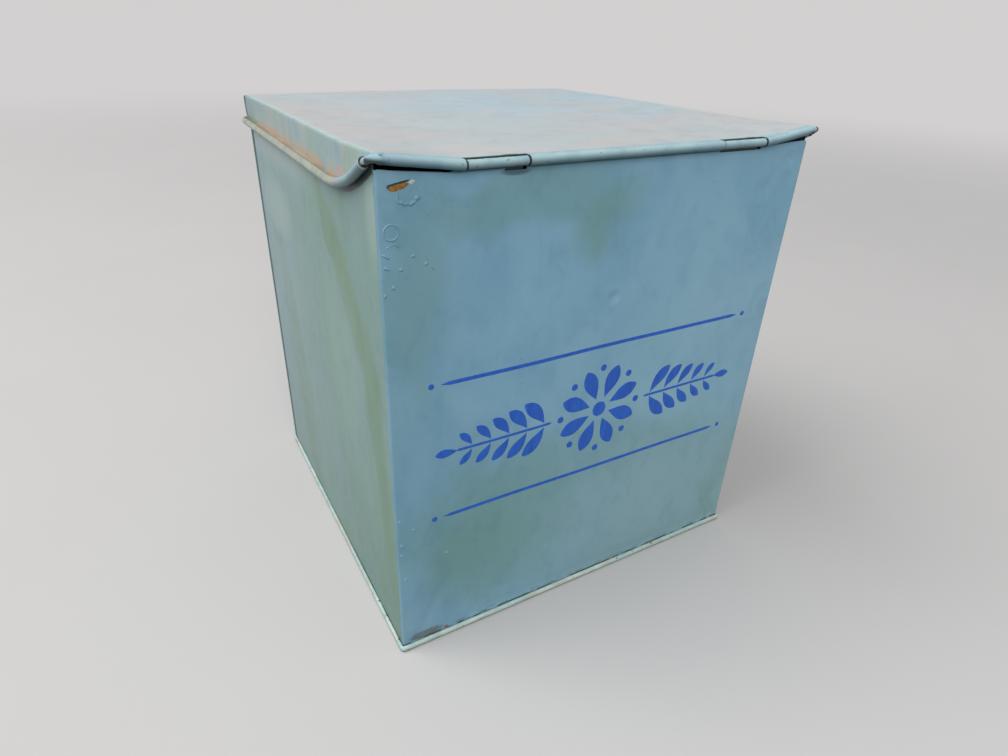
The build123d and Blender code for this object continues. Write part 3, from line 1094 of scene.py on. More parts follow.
frontTurn = (0.0, tin["cornerWrap"])
backTurn = (tin["backLap"], tin["backWrap"])
wallPiece("front", "frontWall", "front_panel", tin["frontTop"], [frontFinish, tinFinish], slotSet, *frontTurn)
wallPiece("back", "backWall", "back_panel", tin["rimTop"], [backFinish, tinFinish], None, *backTurn)
sidePiece("left", "leftWall", "left_side_panel", [leftFinish, tinFinish, tinFinish])
sidePiece("right", "rightWall", "right_side_panel", [rightFinish, tinFinish, tinFinish])


cornerSolderSet = {
    "edge": 112.5,
    "low": 2.0,
    "high": 270.95,
    # distance from the flange's free edge towards the middle, height over the wall
    "section": [
        (-0.4, -0.06), (1.5, -0.06), (1.35, 0.08), (1.0, 0.22),
        (0.5, 0.42), (0.1, 0.62), (-0.4, 0.66),
    ],
    "lumps": 0.05,
}


def cornerSolder():
    # A run of solder up the free edge of each lap flange, which follows the bent wall.
    look = cornerSolderSet
    patches = Patches()
    zs = places([look["low"], look["high"]], 1.5)
    section = np.array([*look["section"], look["section"][0]])
    for wall, at in (("front", -1), ("back", 1)):
        for sign in (-1, 1):
            gz, along = np.meshgrid(zs, section[:, 0])
            x = sign * (look["edge"] - along)
            bulge = wallBulge(wall, -at * x, gz)
            lumps = 1 + look["lumps"] * (np.sin(gz / 2.9 + sign) + np.sin(gz / 1.3 + at))
            ends = ease(gz, look["low"], look["low"] + 2) * ease(look["high"] - gz, 0, 2)
            height = section[:, 1][:, None]
            proud = height * np.where(height > 0, lumps * ends, 1)
            y = at * (tin["halfDepth"] - tin["sheet"] + bulge - proud)
            run = np.stack([x, y, gz], -1)
            middle = run[:-1, [0, -1]].mean(0)[None].repeat(len(section), 0)
            run = np.concatenate([middle[:, :1], run, middle[:, 1:]], 1)
            patches.grid(run, flip=sign * at > 0)
    return closedPiece("cornerSolder", patches, [solderFinish], "tin", ["seam_solder"])


cornerSolder()
print("walls ready")


# Bottom with its folded seam

def footRing():
    # Rounded rectangle of the walls' outer face, with outward directions.
    r = footSet["wallRound"]
    w = tin["halfWidth"] - r
    d = tin["halfDepth"] - r
    ring = []
    turns = [((w, -d), -90), ((w, d), 0), ((-w, d), 90), ((-w, -d), 180)]
    for k, (corner, start) in enumerate(turns):
        for a in np.linspace(start, start + 90, 7):
            c = math.cos(math.radians(a))
            s = math.sin(math.radians(a))
            ring.append((corner[0] + r * c, corner[1] + r * s, c, s))
        after = turns[(k + 1) % 4]
        last = np.array(ring[-1])
        a = math.radians(after[1])
        to = np.array([after[0][0] + r * math.cos(a), after[0][1] + r * math.sin(a), last[2], last[3]])
        count = int(np.linalg.norm(to[:2] - last[:2]) / 2.5)
        ring.extend((last + (to - last) * k / count).tolist() for k in range(1, count))
    return np.array(ring + [ring[0]])


def bottomPiece():
    ring = footRing()
    at, out = ring[:, :2], ring[:, 2:]
    half = tin["sheet"] / 2
    far = np.cumsum(np.r_[0, np.linalg.norm(np.diff(at, axis=0), axis=1)])
    sway = np.zeros(len(far))
    for turns, phase in footSet["sways"]:
        sway += np.sin(2 * math.pi * turns * far / far[-1] + phase) / (1 + turns / 20)
    sway = sway * footSet["wander"] / 2
    bend = footSet["round"]
    outer = footSet["reach"] - half
    rows = []

    def row(offset, z, moving):
        reach = offset + moving * sway
        rows.append(np.column_stack([at + out * reach[:, None], z + 0 * far + moving * sway * 0.5]))

    for share in footSet["flatRings"]:
        flat = at * share
        dome = footSet["dome"] * (1 - share**2) * (share < 1)
        rows.append(np.column_stack([flat, half + dome + 0 * far]))
    row(-1.0, half, 0.0)
    row(0.4, half, 0.0)
    for k in range(7):
        a = math.pi / 2 * k / 6
        row(outer - bend + bend * math.sin(a), half + bend * (1 - math.cos(a)), k / 6)
    top = footSet["height"] - half
    for k in range(7):
        a = math.pi / 2 * k / 6
        row(outer - bend * (1 - math.cos(a)), top - bend + bend * math.sin(a), 1.0)
    row(0.30, top - 0.06, 0.6)
    patches = Patches()
    patches.grid(np.array(rows))
    finishes = [footFinish, tinFinish]
    return sheetPiece("bottomPan", patches, tin["sheet"], finishes, "tin", ["bottom_panel"])


bottomPiece()
print("bottom ready")


# Lid

rollNicks = [
    # x, reach, depth as a share of the roll's radius
    (-123.6, 0.9, 0.10), (-112.5, 1.0, 0.07), (-101, 4, 0.03),
    (-20, 7, 0.025), (35, 5, 0.02), (104, 4, 0.03),
]

lidSet = {
    # centre of the wire at the sides and the back, and its bends
    "beadX": 130.1,
    "beadY": 127.7,
    "beadZ": 262.5,
    "slopeStart": -90.5,
    "slopeRound": 90.0,
    "cornerRound": 3.7,
    "bendLeft": 5.0,
    "bendRight": 2.6,
    "wireRadius": 1.55,
    "wireGap": 0.25,
    # middle of the sheet round the wire, and how far round it goes in degrees
    "rollRadius": 2.05,
    "rollOpening": 50,
    "rollTurn": 253.0,
    "rollTurnFront": 45.0,
    # where the hinge edge starts to turn up, and how steeply
    "turnLeft": 89.0,
    "turnRight": 91.3,
    "angleLeft": 7.4,
    "angleRight": 7.4,
    "turnRound": 60.0,
    # the top and its bend down into the skirts
    "crown": 0.9,
    "fold": 0.9,
    "border": 1.7,
    "spread": 1.0,
    "notchLeft": notchSet["left"],
    "notchRight": notchSet["right"],
    "notchDepth": 2.5,
    # painted corners: where they begin, and how much thinner they are at both ends
    "capSide": 125.1,
    "capBack": -123.26,
    "capThinLeft": 0.14,
    "capThinRight": 0.55,
    "mouthLeft": 0.18,
    "mouthRight": 0.0,
    "capTurn": 0.68,
    # slits in the side skirts and the tabs behind them
    "slit": (118.3, 122.6),
    "tabInside": 0.5,
    "tabY": (112.5, 122.6),
    "tabZ": (262.6, 276.9),
    # x, y, reach squared and depth of the dents in the top
    "dents": [(-66, -40, 300, 0.5), (50, 30, 160, 0.4)],
    "step": 2.0,
}

hingeY = hingePlace[1]
hingeZ = hingePlace[2]


def cornerHeight(key):
    run = lidSet["beadX"] - lidSet["turn" + key]
    return hingeZ + run * math.tan(math.radians(lidSet["angle" + key]))


hingeRoute = roundedRoute(
    [
        (-lidSet["beadX"], hingeY, cornerHeight("Left")),
        (-lidSet["turnLeft"], hingeY, hingeZ),
        (lidSet["turnRight"], hingeY, hingeZ),
        (lidSet["beadX"], hingeY, cornerHeight("Right")),
    ],
    [lidSet["turnRound"], lidSet["turnRound"]],
    2,
    1,
)


def hingeLevel(x):
    return np.interp(x, hingeRoute[:, 0], hingeRoute[:, 2])


def beadLevel(y, key):
    slope = roundedRoute(
        [
            (0, hingeY, cornerHeight(key)),
            (0, lidSet["slopeStart"], lidSet["beadZ"]),
            (0, 200, lidSet["beadZ"]),
        ],
        [lidSet["slopeRound"]],
        4,
        0.5,
    )
    return np.interp(y, slope[:, 1], slope[:, 2])


def lidWaves(x, y):
    # Slow unevenness of the top, nothing at its edges.
    wave = 0.22 * np.sin(x / 31 + 0.7) * np.sin(y / 37 + 1.1)
    wave = wave + 0.16 * np.sin(x / 17 - 0.4 + y / 60) * np.sin(y / 23 + 0.5)
    for dentX, dentY, reach, depth in lidSet["dents"]:
        wave = wave - depth * np.exp(-((x - dentX) ** 2 + (y - dentY) ** 2) / reach)
    return wave * ease(126 - np.abs(x), 0, 16) * ease(124 - y, 0, 16) * ease(y + 126, 0, 14)


sideLift = [
    # y, share of the corner's lift that the top still has there
    (-127.7, 1.0), (-119.5, 0.92), (-113, 0.84), (-101, 0.71), (-87, 0.59),
    (-72, 0.50), (-56, 0.455), (-39, 0.42), (-10, 0.385), (11, 0.35),
    (35, 0.31), (61, 0.26), (92, 0.10), (118, 0.0), (126, 0.0),
]


def plateLevel(x, y):
    # Middle of the top sheet: flat at the back, lifted towards the turned-up hinge corners.
    x = np.asarray(x, float)
    y = np.asarray(y, float)
    t = np.clip((y - hingeY) / (125.65 - hingeY), 0, 1)
    front = hingeLevel(np.clip(x, -lidSet["beadX"], lidSet["beadX"])) + lidSet["rollRadius"]
    back = hingeZ + lidSet["rollRadius"]
    lift = (front - back) * np.interp(y, *zip(*sideLift))
    crown = lidSet["crown"] * np.cos(math.pi * np.clip(x / 256, -0.5, 0.5)) * t**2
    return back + lift + crown + lidWaves(x, y)


def hingeRoll(xs, angles):
    # The top's front edge, rolled down round the wire.
    radius = lidSet["rollRadius"]
    wander = 1 + 0.012 * np.sin(xs / 7.3 + 1) + 0.010 * np.sin(xs / 3.1)
    wander = wander - 0.22 * ease(xs, 108, 125.5)
    for place, size, deep in rollNicks:
        wander = wander - deep * np.exp(-((xs - place) ** 2) / size**2)
    away = radius * wander
    points = np.zeros((len(angles), len(xs), 3))
    points[:, :, 0] = xs
    points[:, :, 1] = hingeY + np.cos(angles)[:, None] * away
    points[:, :, 2] = hingeLevel(xs) + np.sin(angles)[:, None] * away
    points[-1, :, 1] = hingeY
    points[-1, :, 2] = plateLevel(xs, hingeY)
    blendIn = ease(np.degrees(angles), 90, 130)[:, None]
    plain = hingeLevel(xs) + np.sin(angles)[:, None] * radius
    points[:, :, 2] = plain + (points[:, :, 2] - plain) * blendIn
    return points


def edgeLine(xs, ys):
    # Centre of the rolled edge from the left hinge corner round to the right one, and the
    # directions outwards and up from it.
    look = lidSet
    ring = look["cornerRound"]
    cornerAngles = np.arange(1, 8) * math.pi / 16
    stations = [((-look["beadX"], y, float(beadLevel(y, "Left"))), 0) for y in ys]
    turn = []
    for k in range(1, 8):
        a = math.pi / 2 * k / 8
        turn.append((look["beadX"] - ring * (1 - math.cos(a)), look["beadY"] - ring * (1 - math.sin(a))))
    stations += [((-x, y, look["beadZ"]), 1) for x, y in turn]
    stations += [((x, look["beadY"], look["beadZ"]), 2) for x in xs]
    stations += [((x, y, look["beadZ"]), 3) for x, y in reversed(turn)]
    stations += [((look["beadX"], y, float(beadLevel(y, "Right"))), 4) for y in ys[::-1]]
    centre = np.array([s[0] for s in stations])
    part = np.array([s[1] for s in stations])
    outward = np.zeros_like(centre)
    outward[part == 0] = (-1, 0, 0)
    outward[part == 1] = np.column_stack([-np.cos(cornerAngles), np.sin(cornerAngles), 0 * cornerAngles])
    outward[part == 2] = (0, 1, 0)
    outward[part == 3] = (outward[part == 1] * (-1, 1, 1))[::-1]
    outward[part == 4] = (1, 0, 0)
    tangent = np.gradient(centre, axis=0)
    tangent[(part == 0) | (part == 4), 0] = 0
    tangent[part == 2] = (1, 0, 0)
    return centre, outward, unit(np.cross(unit(tangent), outward))


fillingSet = {
    # paint and dirt round the wire: its span in degrees, radius and thickness
    "span": (62, 104),
    "radius": 1.70,
    "thickness": 0.28,
    # how high it climbs the skirt, and how ragged it ends
    "height": 2.6,
    "ragged": 0.16,
    "hollow": (0.45, 1.6),
}


def rimFilling(centre, base, outward, up):
    # Paint and dirt lie on the wire and fill the angle up to the skirt.
    look = fillingSet
    angles = np.radians(np.linspace(*look["span"], 6))[:, None, None]
    bar = centre[None] + look["radius"] * (np.cos(angles) * outward[None] + np.sin(angles) * up[None])
    knots = np.arange(0, len(base) + 9, 9)
    ragged = np.interp(np.arange(len(base)), knots, draw.normal(0, look["ragged"], len(knots)))
    first = bar[-1]
    last = base - outward * 0.1 + up * (look["height"] + ragged)[:, None]
    handle = base + outward * look["hollow"][0] + up * look["hollow"][1]
    curve = [first * (1 - t) ** 2 + handle * 2 * t * (1 - t) + last * t * t for t in np.linspace(0, 1, 7)[1:]]
    filling = Patches()
    filling.grid(np.concatenate([bar, np.array(curve)]))
    sheetPiece("rimFilling", filling, look["thickness"], [rimFinish, rimFinish], "lid", (), 60)


def cornerCap(key, sign, rollAngles, frontYs):
    # Painted corner over the bare bend of the wire, at one end of the hinge.
    look = lidSet
    radius = look["rollRadius"]
    bend = cornerRoute(key)
    pivot = np.array([sign * look["capSide"], look["capBack"]])
    pivotZ = float(plateLevel(*pivot))
    reachOut = np.r_[0, look["capBack"] - frontYs[:0:-1]] / (look["capBack"] - hingeY)
    cols = []
    for k, spot in enumerate(bend):
        s = k / (len(bend) - 1)
        flat = spot[:2] - pivot
        outwards = np.array([*unit(flat), 0])
        thin = 1 - look["capThin" + key] * float(ease(s, 0.0, 0.35))
        thin = thin - look["mouth" + key] * float(ease(s, 0.5, 1.0))
        topZ = spot[2] + radius * thin
        turnBy = 1 - (1 - look["capTurn"]) * float(ease(s, 0.0, 0.25))
        col = []
        for share in reachOut:
            fall = share * (1 - s) + float(ease(share, 0.25, 1.0)) * s
            col.append((*(pivot + flat * share), pivotZ + (topZ - pivotZ) * fall))
        for a in rollAngles:
            level = (a - math.radians(90)) * turnBy
            way = math.sin(level) * outwards + math.cos(level) * np.array([0, 0, 1])
            col.append(spot + radius * thin * way)
        cols.append(col)
    return np.array(cols).transpose(1, 0, 2)


def lidPiece():
    look = lidSet
    patches = Patches()
    radius = look["rollRadius"]
    bx = look["beadX"] - radius - look["border"]
    by = look["beadY"] - radius - look["border"]
    side = look["capSide"]
    xs = places([-bx, -side, *look["notchLeft"], *look["notchRight"], side, bx], look["step"])
    frontYs = np.array([hingeY, -126.6, hingeY + look["notchDepth"], -124.3])
    ys = places([look["capBack"], -100, -98], look["step"])
    ys = np.r_[ys, places([-98, *look["slit"], by], look["step"])[1:]]

    # top
    allYs = np.r_[frontYs, ys]
    gx, gy = np.meshgrid(xs, allYs)
    top = np.stack([gx, gy, plateLevel(gx, gy)], -1)
    middleX = (xs[:-1] + xs[1:]) / 2
    middleY = (allYs[:-1] + allYs[1:]) / 2
    keep = np.ones((len(allYs) - 1, len(xs) - 1), bool)
    keep &= ~((middleY < look["capBack"])[:, None] & (np.abs(middleX) > side)[None])
    for key in ("notchLeft", "notchRight"):
        keep &= ~((middleY < hingeY + look["notchDepth"])[:, None] & within(middleX, look[key])[None])
    patches.grid(top, keep=keep)

    # hinge roll
    rollAngles = np.radians(np.linspace(90 + 360 - look["rollOpening"], 90, 27))
    rollXs = xs[(xs > -side - 1e-6) & (xs < side + 1e-6)]
    middleX = (rollXs[:-1] + rollXs[1:]) / 2
    keep = np.ones((len(rollAngles) - 1, len(rollXs) - 1), bool)
    for key in ("notchLeft", "notchRight"):
        keep &= ~within(middleX, look[key])[None]
    patches.grid(hingeRoll(rollXs, rollAngles), keep=keep)

    # skirts with their crease and slits
    centre, outward, up = edgeLine(xs, ys)
    base = centre - outward * radius
    spread = look["spread"] * ease(base[:, 1], 96, 121) * ease(-base[:, 0], 112, 126)
    inward = base - outward * look["border"]
    inward[:, 0] = np.clip(inward[:, 0], -bx, bx)
    inward[:, 1] = np.clip(inward[:, 1], look["capBack"], by)
    creaseTop = plateLevel(inward[:, 0], inward[:, 1])
    rows = [np.column_stack([inward[:, :2], creaseTop])]
    fold = look["fold"]
    for k in range(6, -1, -1):
        a = math.pi / 2 * k / 6
        spot = base - outward * fold * (1 - math.cos(a))
        spot[:, 0] -= spread
        rows.append(np.column_stack([spot[:, :2], creaseTop - fold + fold * math.sin(a)]))
    length = np.arange(len(base))
    sway = 0.12 * np.sin(length / 6.0) + 0.08 * np.sin(length / 2.3)
    high = creaseTop - fold
    for share in np.linspace(0, 1, 9)[1:]:
        z = high + (base[:, 2] - high) * share
        spot = base + outward * (sway * math.sin(math.pi * share))[:, None]
        spot[:, 0] -= spread * (1 - share**3)
        rows.append(np.column_stack([spot[:, :2], z]))
    gap = (centre[:-1] + centre[1:]) / 2
    keep = np.ones((len(rows) - 1, len(centre) - 1), bool)
    keep[5:-1, within(gap[:, 1], look["slit"]) & (np.abs(gap[:, 0]) > 120)] = False
    patches.grid(np.array(rows), keep=keep)

    # rolled edge: half round the wire, and nearly all round it on the slopes
    wobble = 1 + 0.02 * np.sin(length / 4.1) + 0.015 * np.sin(length / 1.7 + 0.4)
    slopeShare = ease(-centre[:, 1], 88, 106) * (np.abs(centre[:, 0]) > 130)
    turned = look["rollTurn"] + look["rollTurnFront"] * slopeShare
    turned = turned + 3 * np.sin(length / 5.3) * (1 - slopeShare)
    angles = np.radians(180 + np.linspace(0, 1, 22)[:, None] * turned[None])
    reach = radius * (1 + (wobble[None] - 1) * ease(angles, math.pi, math.pi * 1.3))
    way = np.cos(angles)[..., None] * outward[None] + np.sin(angles)[..., None] * up[None]
    patches.grid(centre[None] + reach[..., None] * way, slot=1)
    rimFilling(centre, base, outward, up)

    # tabs of the back skirt inside the side skirts, seen through the slits and dark as painted shade
    for sign in (-1, 1):
        x = sign * (look["beadX"] - radius - look["tabInside"])
        tab = [[(x, y, z) for y in places(look["tabY"], 2)] for z in places(look["tabZ"], 3)]
        patches.grid(tab, slot=5, flip=sign < 0)
    for sign, key in ((-1, "Left"), (1, "Right")):
        patches.grid(cornerCap(key, sign, rollAngles[::-1][:17], frontYs), flip=sign > 0)
    finishes = [lidFinish, tinFinish, beadFinish, beadFinish, beadFinish, paintedShadeFinish, tinFinish]
    return sheetPiece("lidCover", patches, tin["sheet"], finishes, "lid", ["lid_sheet"], 50)


def wireCorners(key):
    sign = -1 if key == "Left" else 1
    return [
        (sign * lidSet["turn" + key], hingeY, hingeZ),
        (sign * lidSet["beadX"], hingeY, cornerHeight(key)),
        (sign * lidSet["beadX"], lidSet["slopeStart"], lidSet["beadZ"]),
    ]


def cornerRoute(key):
    # The wire's bend at a hinge corner, between the ends of the two rolls.
    route = roundedRoute(wireCorners(key), [lidSet["bend" + key]], 0.5, 0.4)
    near = (np.abs(route[:, 0]) > lidSet["capSide"]) & (route[:, 1] < lidSet["capBack"])
    route = route[near]
    sign = -1 if key == "Left" else 1
    side, back = sign * lidSet["capSide"], lidSet["capBack"]
    first = (side, hingeY, float(hingeLevel(side)))
    last = (sign * lidSet["beadX"], back, float(beadLevel(back, key)))
    return np.array([first, *route[1:-1], last])


def wirePiece():
    # One wire all round the lid; its ends nearly meet in the middle of the back.
    look = lidSet
    x, y, z = look["beadX"], look["beadY"], look["beadZ"]
    gap = look["wireGap"]
    left = wireCorners("Left")[::-1]
    right = wireCorners("Right")
    corners = [(-gap, y, z), (-x, y, z), *left, *right, (x, y, z), (gap, y, z)]
    rounds = [look["cornerRound"], look["slopeRound"], look["bendLeft"], look["turnRound"]]
    rounds += [look["turnRound"], look["bendRight"], look["slopeRound"], look["cornerRound"]]
    route = roundedRoute(corners, rounds, 2.5, 0.9)
    patches = Patches()
    patches.grid(tube(route, look["wireRadius"], 18), flip=True)
    return closedPiece("lidWire", patches, [steelFinish], "lid", ["lid_wire"])


lidPiece()
wirePiece()
print("lid ready")


# Hinge straps

strapSet = {
    "left": (-87.9, -58.9),
    "right": (58.6, 88.5),
    "sheet": 0.35,
    # loop round the wire: radius, where it runs in degrees, and what counts as part of it
    "loop": 1.855,
    "loopTurn": (-90, -320),
    "loopEdge": 1.95,
    # the two plies that pass through the wall
    "lower": -1.855,
    "upper": -1.49,
    "lowerBend": 0.3,
    "upperBend": 0.65,
    "neck": 1.05,
    "plyGap": 0.015,
    "wallIn": 3.2,
    "tail": 12.0,
}


def strapLine():
    # Side view of the strap, the wire's centre at the origin and the wall towards +y.
    look = strapSet
    half = look["sheet"] / 2
    low, high = look["lower"], look["upper"]
    tight, wide = look["lowerBend"], look["upperBend"]
    near = look["wallIn"] + half
    far = near + look["sheet"] + look["plyGap"]
    foot = low - half - look["tail"]
    line = [(near, z) for z in np.linspace(foot, low - tight, 6)]
    for a in np.radians([30, 60, 90]):
        line.append((near - tight + tight * math.cos(a), low - tight + tight * math.sin(a)))
    line += [(y, low) for y in np.linspace(near - 0.6, 0.3, 5)]
    for a in np.radians(np.linspace(*look["loopTurn"], 30)):
        line.append((look["loop"] * math.cos(a), look["loop"] * math.sin(a)))
    # neck back down to the upper ply
    y0, z0 = line[-1]
    for t in np.linspace(0, 1, 7)[1:]:
        line.append((y0 + look["neck"] * t, z0 + (high - z0) * ease(t, 0, 1)))
    line += [(y, high) for y in np.linspace(line[-1][0], far - wide, 4)[1:]]
    for a in np.radians([67.5, 45, 22.5, 0]):
        line.append((far - wide + wide * math.cos(a), high - wide + wide * math.sin(a)))
    line += [(far, z) for z in np.linspace(high - 1.0, foot, 6)]
    return np.array(line)


def strapPiece(key, name, node):
    line = strapLine()
    isLoop = (np.hypot(line[:, 0], line[:, 1]) < strapSet["loopEdge"])[:, None]
    xs = places(strapSet[key], 1.5)
    points = np.zeros((len(line), len(xs), 3))
    for j, x in enumerate(xs):
        sway = 0.04 * math.sin(x * 0.7) + 0.03 * math.sin(x * 1.9 + 1)
        spot = np.where(isLoop, line * (1 + sway * 0.4), line)
        points[:, j, 0] = x
        points[:, j, 1] = hingeY + spot[:, 0]
        points[:, j, 2] = hingeZ + spot[:, 1]
    patches = Patches()
    patches.grid(points)
    # the inner side takes the black painted shade
    finishes = [beadFinish, paintedShadeFinish]
    return sheetPiece(name, patches, strapSet["sheet"], finishes, "tin", [node])


strapPiece("left", "strapLeft", "hinge_strap_left")
strapPiece("right", "strapRight", "hinge_strap_right")
print("straps ready")


# The ornament, a folk band in cobalt, and the marks in the front's paint

ornamentSet = {
    "middle": (0.0, 133.0),
    "proud": 0.07,
    "sunk": 0.12,
    "petals": 8,
    "petalFrom": 7.5,
    "petalSize": (21, 9.5),
    "petalFull": 0.6,
    "dotRing": 27,
    "dotSize": 4.2,
    "heart": 9.5,
    # stem: from, to and width
    "stem": (33, 92, 1.7),
    "leaves": 5,
    "leafFrom": 38,
    "leafStep": 11.2,
    "leafSize": (21, 8.0),
    "leafLess": 0.115,
    "lean": 50,
    "tipFrom": 91,
    "tipSize": (13, 5.2),
    "ruleLevel": 41,
    "ruleReach": 100,
    "ruleWidth": 2.2,
    "endDot": (105, 3.2),
}


def onFront(a, z, proud):
    # A place on the outer face of the front wall, standing proud of it.
    y = -tin["halfDepth"] - wallBulge("front", a, z) - proud
    return np.stack([a, y, z], -1)


def lensGrid(spine, tangent, half, across):
    # Places across a line, out to half its width on both sides.
    side = np.column_stack([-tangent[:, 1], tangent[:, 0]])
    return [spine[:, k][:, None] + side[:, k][:, None] * across[None] * half for k in (0, 1)]


def stroke(patches, spine, widths):
    # One stroke of the brush: a low closed lens along its spine.
    spine = np.asarray(spine, float)
    across = np.linspace(-1, 1, 7)
    a, z = lensGrid(spine, unit(np.gradient(spine, axis=0)), widths[:, None] / 2, across)
    count = np.arange(len(spine))
    swell = (1 - np.abs(across[None]) ** 4) * np.minimum(1, np.minimum(count, count[::-1]) / 2)[:, None]
    patches.grid(onFront(a, z, 0.01 + ornamentSet["proud"] * swell), flip=True)
    patches.grid(onFront(a, z, 0.01 - ornamentSet["sunk"] * swell))


def petal(patches, start, angle, size, bend=0.0):
    # A comma stroke: round at its full end, drawn out to a point at the start.
    length, width = size
    t = np.linspace(0, 1, 22)
    turn = np.radians(angle) + bend * (t - 0.5)
    steps = np.column_stack([np.cos(turn), np.sin(turn)]) * length / (len(t) - 1)
    spine = np.array(start) + np.cumsum(steps, axis=0) - steps[0]
    fullAt = math.log(0.5) / math.log(ornamentSet["petalFull"])
    widths = width * np.sin(math.pi * t**fullAt) ** 0.75
    jitter = 1 + draw.normal(0, 0.02, len(t)).cumsum() * 0.25
    stroke(patches, spine, np.maximum(widths, 0.05) * jitter)


def dot(patches, centre, size):
    t = np.linspace(-1, 1, 15)
    spine = np.column_stack([centre[0] + t * size / 2, centre[1] + 0 * t])
    stroke(patches, spine, np.maximum(size * np.sqrt(1 - t**2), 0.05))


def rule(patches, start, end, width):
    count = int(np.hypot(end[0] - start[0], end[1] - start[1]) / 1.6)
    t = np.linspace(0, 1, count)
    spine = np.array(start) + (np.array(end) - np.array(start)) * t[:, None]
    sway = draw.normal(0, 0.05, count).cumsum() * 0.2
    spine[:, 1] += sway - np.linspace(sway[0], sway[-1], count)
    stroke(patches, spine, width * np.minimum(1, np.minimum(t, 1 - t) * 40 + 0.08))


def ornamentPiece():
    look = ornamentSet
    patches = Patches()
    cx, cz = look["middle"]
    # rosette
    for k in range(look["petals"]):
        angle = 22.5 + 45 * k
        a = math.radians(angle)
        start = (cx + look["petalFrom"] * math.cos(a), cz + look["petalFrom"] * math.sin(a))
        petal(patches, start, angle, look["petalSize"])
    for k in range(look["petals"]):
        a = math.radians(45 * k)
        middle = (cx + look["dotRing"] * math.cos(a), cz + look["dotRing"] * math.sin(a))
        dot(patches, middle, look["dotSize"])
    dot(patches, (cx, cz), look["heart"])
    # sprigs to both sides, their leaves smaller towards the ends
    for sign in (-1, 1):
        start, end, width = look["stem"]
        rule(patches, (cx + sign * start, cz), (cx + sign * end, cz), width)
        for k in range(look["leaves"]):
            x = cx + sign * (look["leafFrom"] + look["leafStep"] * k)
            share = 1 - look["leafLess"] * k
            size = [v * share for v in look["leafSize"]]
            for way in (-1, 1):
                angle = way * look["lean"] if sign > 0 else 180 - way * look["lean"]
                petal(patches, (x, cz + way * 1.2), angle, size, way * sign * -0.5)
        petal(patches, (cx + sign * look["tipFrom"], cz), 0 if sign > 0 else 180, look["tipSize"])
    # rules above and below
    for way in (-1, 1):
        z = cz + way * look["ruleLevel"]
        rule(patches, (cx - look["ruleReach"], z), (cx + look["ruleReach"], z), look["ruleWidth"])
        for sign in (-1, 1):
            dot(patches, (cx + sign * look["endDot"][0], z), look["endDot"][1])
    return closedPiece("frontOrnament", patches, [cobaltFinish], "tin")


markSet = {
    # x, z of the middle, then half width, half height, turn and height of each raised mark
    "bumps": [
        (-112.0, 240.2, 1.0, 0.8, 10, 0.4),
        (-106.2, 236.0, 1.1, 0.8, 30, 0.4),
        (-117.7, 234.8, 0.9, 1.0, 0, 0.4),
        (-124.0, 241.2, 2.2, 0.7, -33, 0.45),
        (-124.1, 236.0, 1.6, 0.7, -27, 0.4),
        (-121.3, 227.2, 0.8, 1.1, 0, 0.35),
        (-125.4, 223.9, 0.7, 1.0, 0, 0.3),
        (-117.1, 89.6, 1.2, 1.0, 20, 0.4),
        (-124.2, 81, 1.1, 1.3, 0, 0.4),
        (-124.6, 74, 1.0, 1.0, 0, 0.4),
        (-98, 65, 1.1, 1.1, 0, 0.4),
        (-123.1, 56, 1.0, 1.2, 0, 0.4),
        (-124.8, 98, 1.0, 0.9, 0, 0.4),
        (-109.4, 264.3, 1.5, 1.3, 20, 0.55),
        (60, 258, 0.7, 0.7, 0, 0.25),
        (104, 214, 0.8, 0.7, 0, 0.25),
        (-30, 40, 0.8, 0.8, 0, 0.25),
    ],
    # x, z of the middle, reach, width, height and how far round in degrees
    "rings": [
        (-121.3, 251.2, 3.3, 1.0, 0.42, 360),
        (-120.8, 242.6, 3.4, 0.9, 0.34, 130),
        (116, 266, 2.6, 0.8, 0.18, 360),
    ],
}

lineSet = {
    # places that a smooth line goes through, its widths, points and height
    "ridge": (
        [
            (-118.4, 267.4), (-117.5, 265.7), (-118.3, 264.3), (-117.1, 262.8),
            (-116.0, 263.2), (-114.9, 261.8), (-113.5, 262.7), (-112.6, 261.6),
            (-111.3, 262.7), (-110.3, 262.8), (-109.4, 264.3),
        ],
        [1.6, 1.1, 2.0, 1.2, 2.0, 1.3],
        40,
        0.6,
    ),
    "chip": (
        [(-121.6, 268.7), (-118.7, 269.2), (-115.7, 269.7), (-112.4, 270.3)],
        [2.9, 3.1, 2.8, 1.2],
        26,
        0.10,
    ),
    "chipWhite": (
        [(-112.8, 270.5), (-111.4, 270.9), (-109.9, 271.3)],
        [1.2, 1.9, 0.9],
        16,
        0.22,
    ),
    "chipLip": (
        [(-122.0, 268.6), (-121.7, 270.0), (-118.4, 270.6), (-114.9, 271.2), (-111.6, 271.8)],
        [0.5, 0.9, 0.8, 0.8, 0.5],
        34,
        0.30,
    ),
}


def lensOver(patches, spine, widths, height, slot=0):
    # Like a stroke, and rounder and higher. A ring joins up, and other lines close at their ends.
    isRing = np.allclose(spine[0], spine[-1])
    tangent = unit(np.gradient(spine, axis=0))
    if isRing:
        spine[-1] = spine[0]
        tangent[[0, -1]] = unit(tangent[0] + tangent[-1])
    across = np.linspace(-1, 1, 11)
    half = widths[:, None] / 2
    a, z = lensGrid(spine, tangent, half, across)
    swell = (1 - across[None] ** 2) ** 1.3 * (half / half.max()) ** 0.8
    if not isRing:
        swell[[0, -1]] = 0
    patches.grid(onFront(a, z, 0.01 + height * swell), slot, flip=True)
    patches.grid(onFront(a, z, 0.01 - 0.12 * swell), slot)


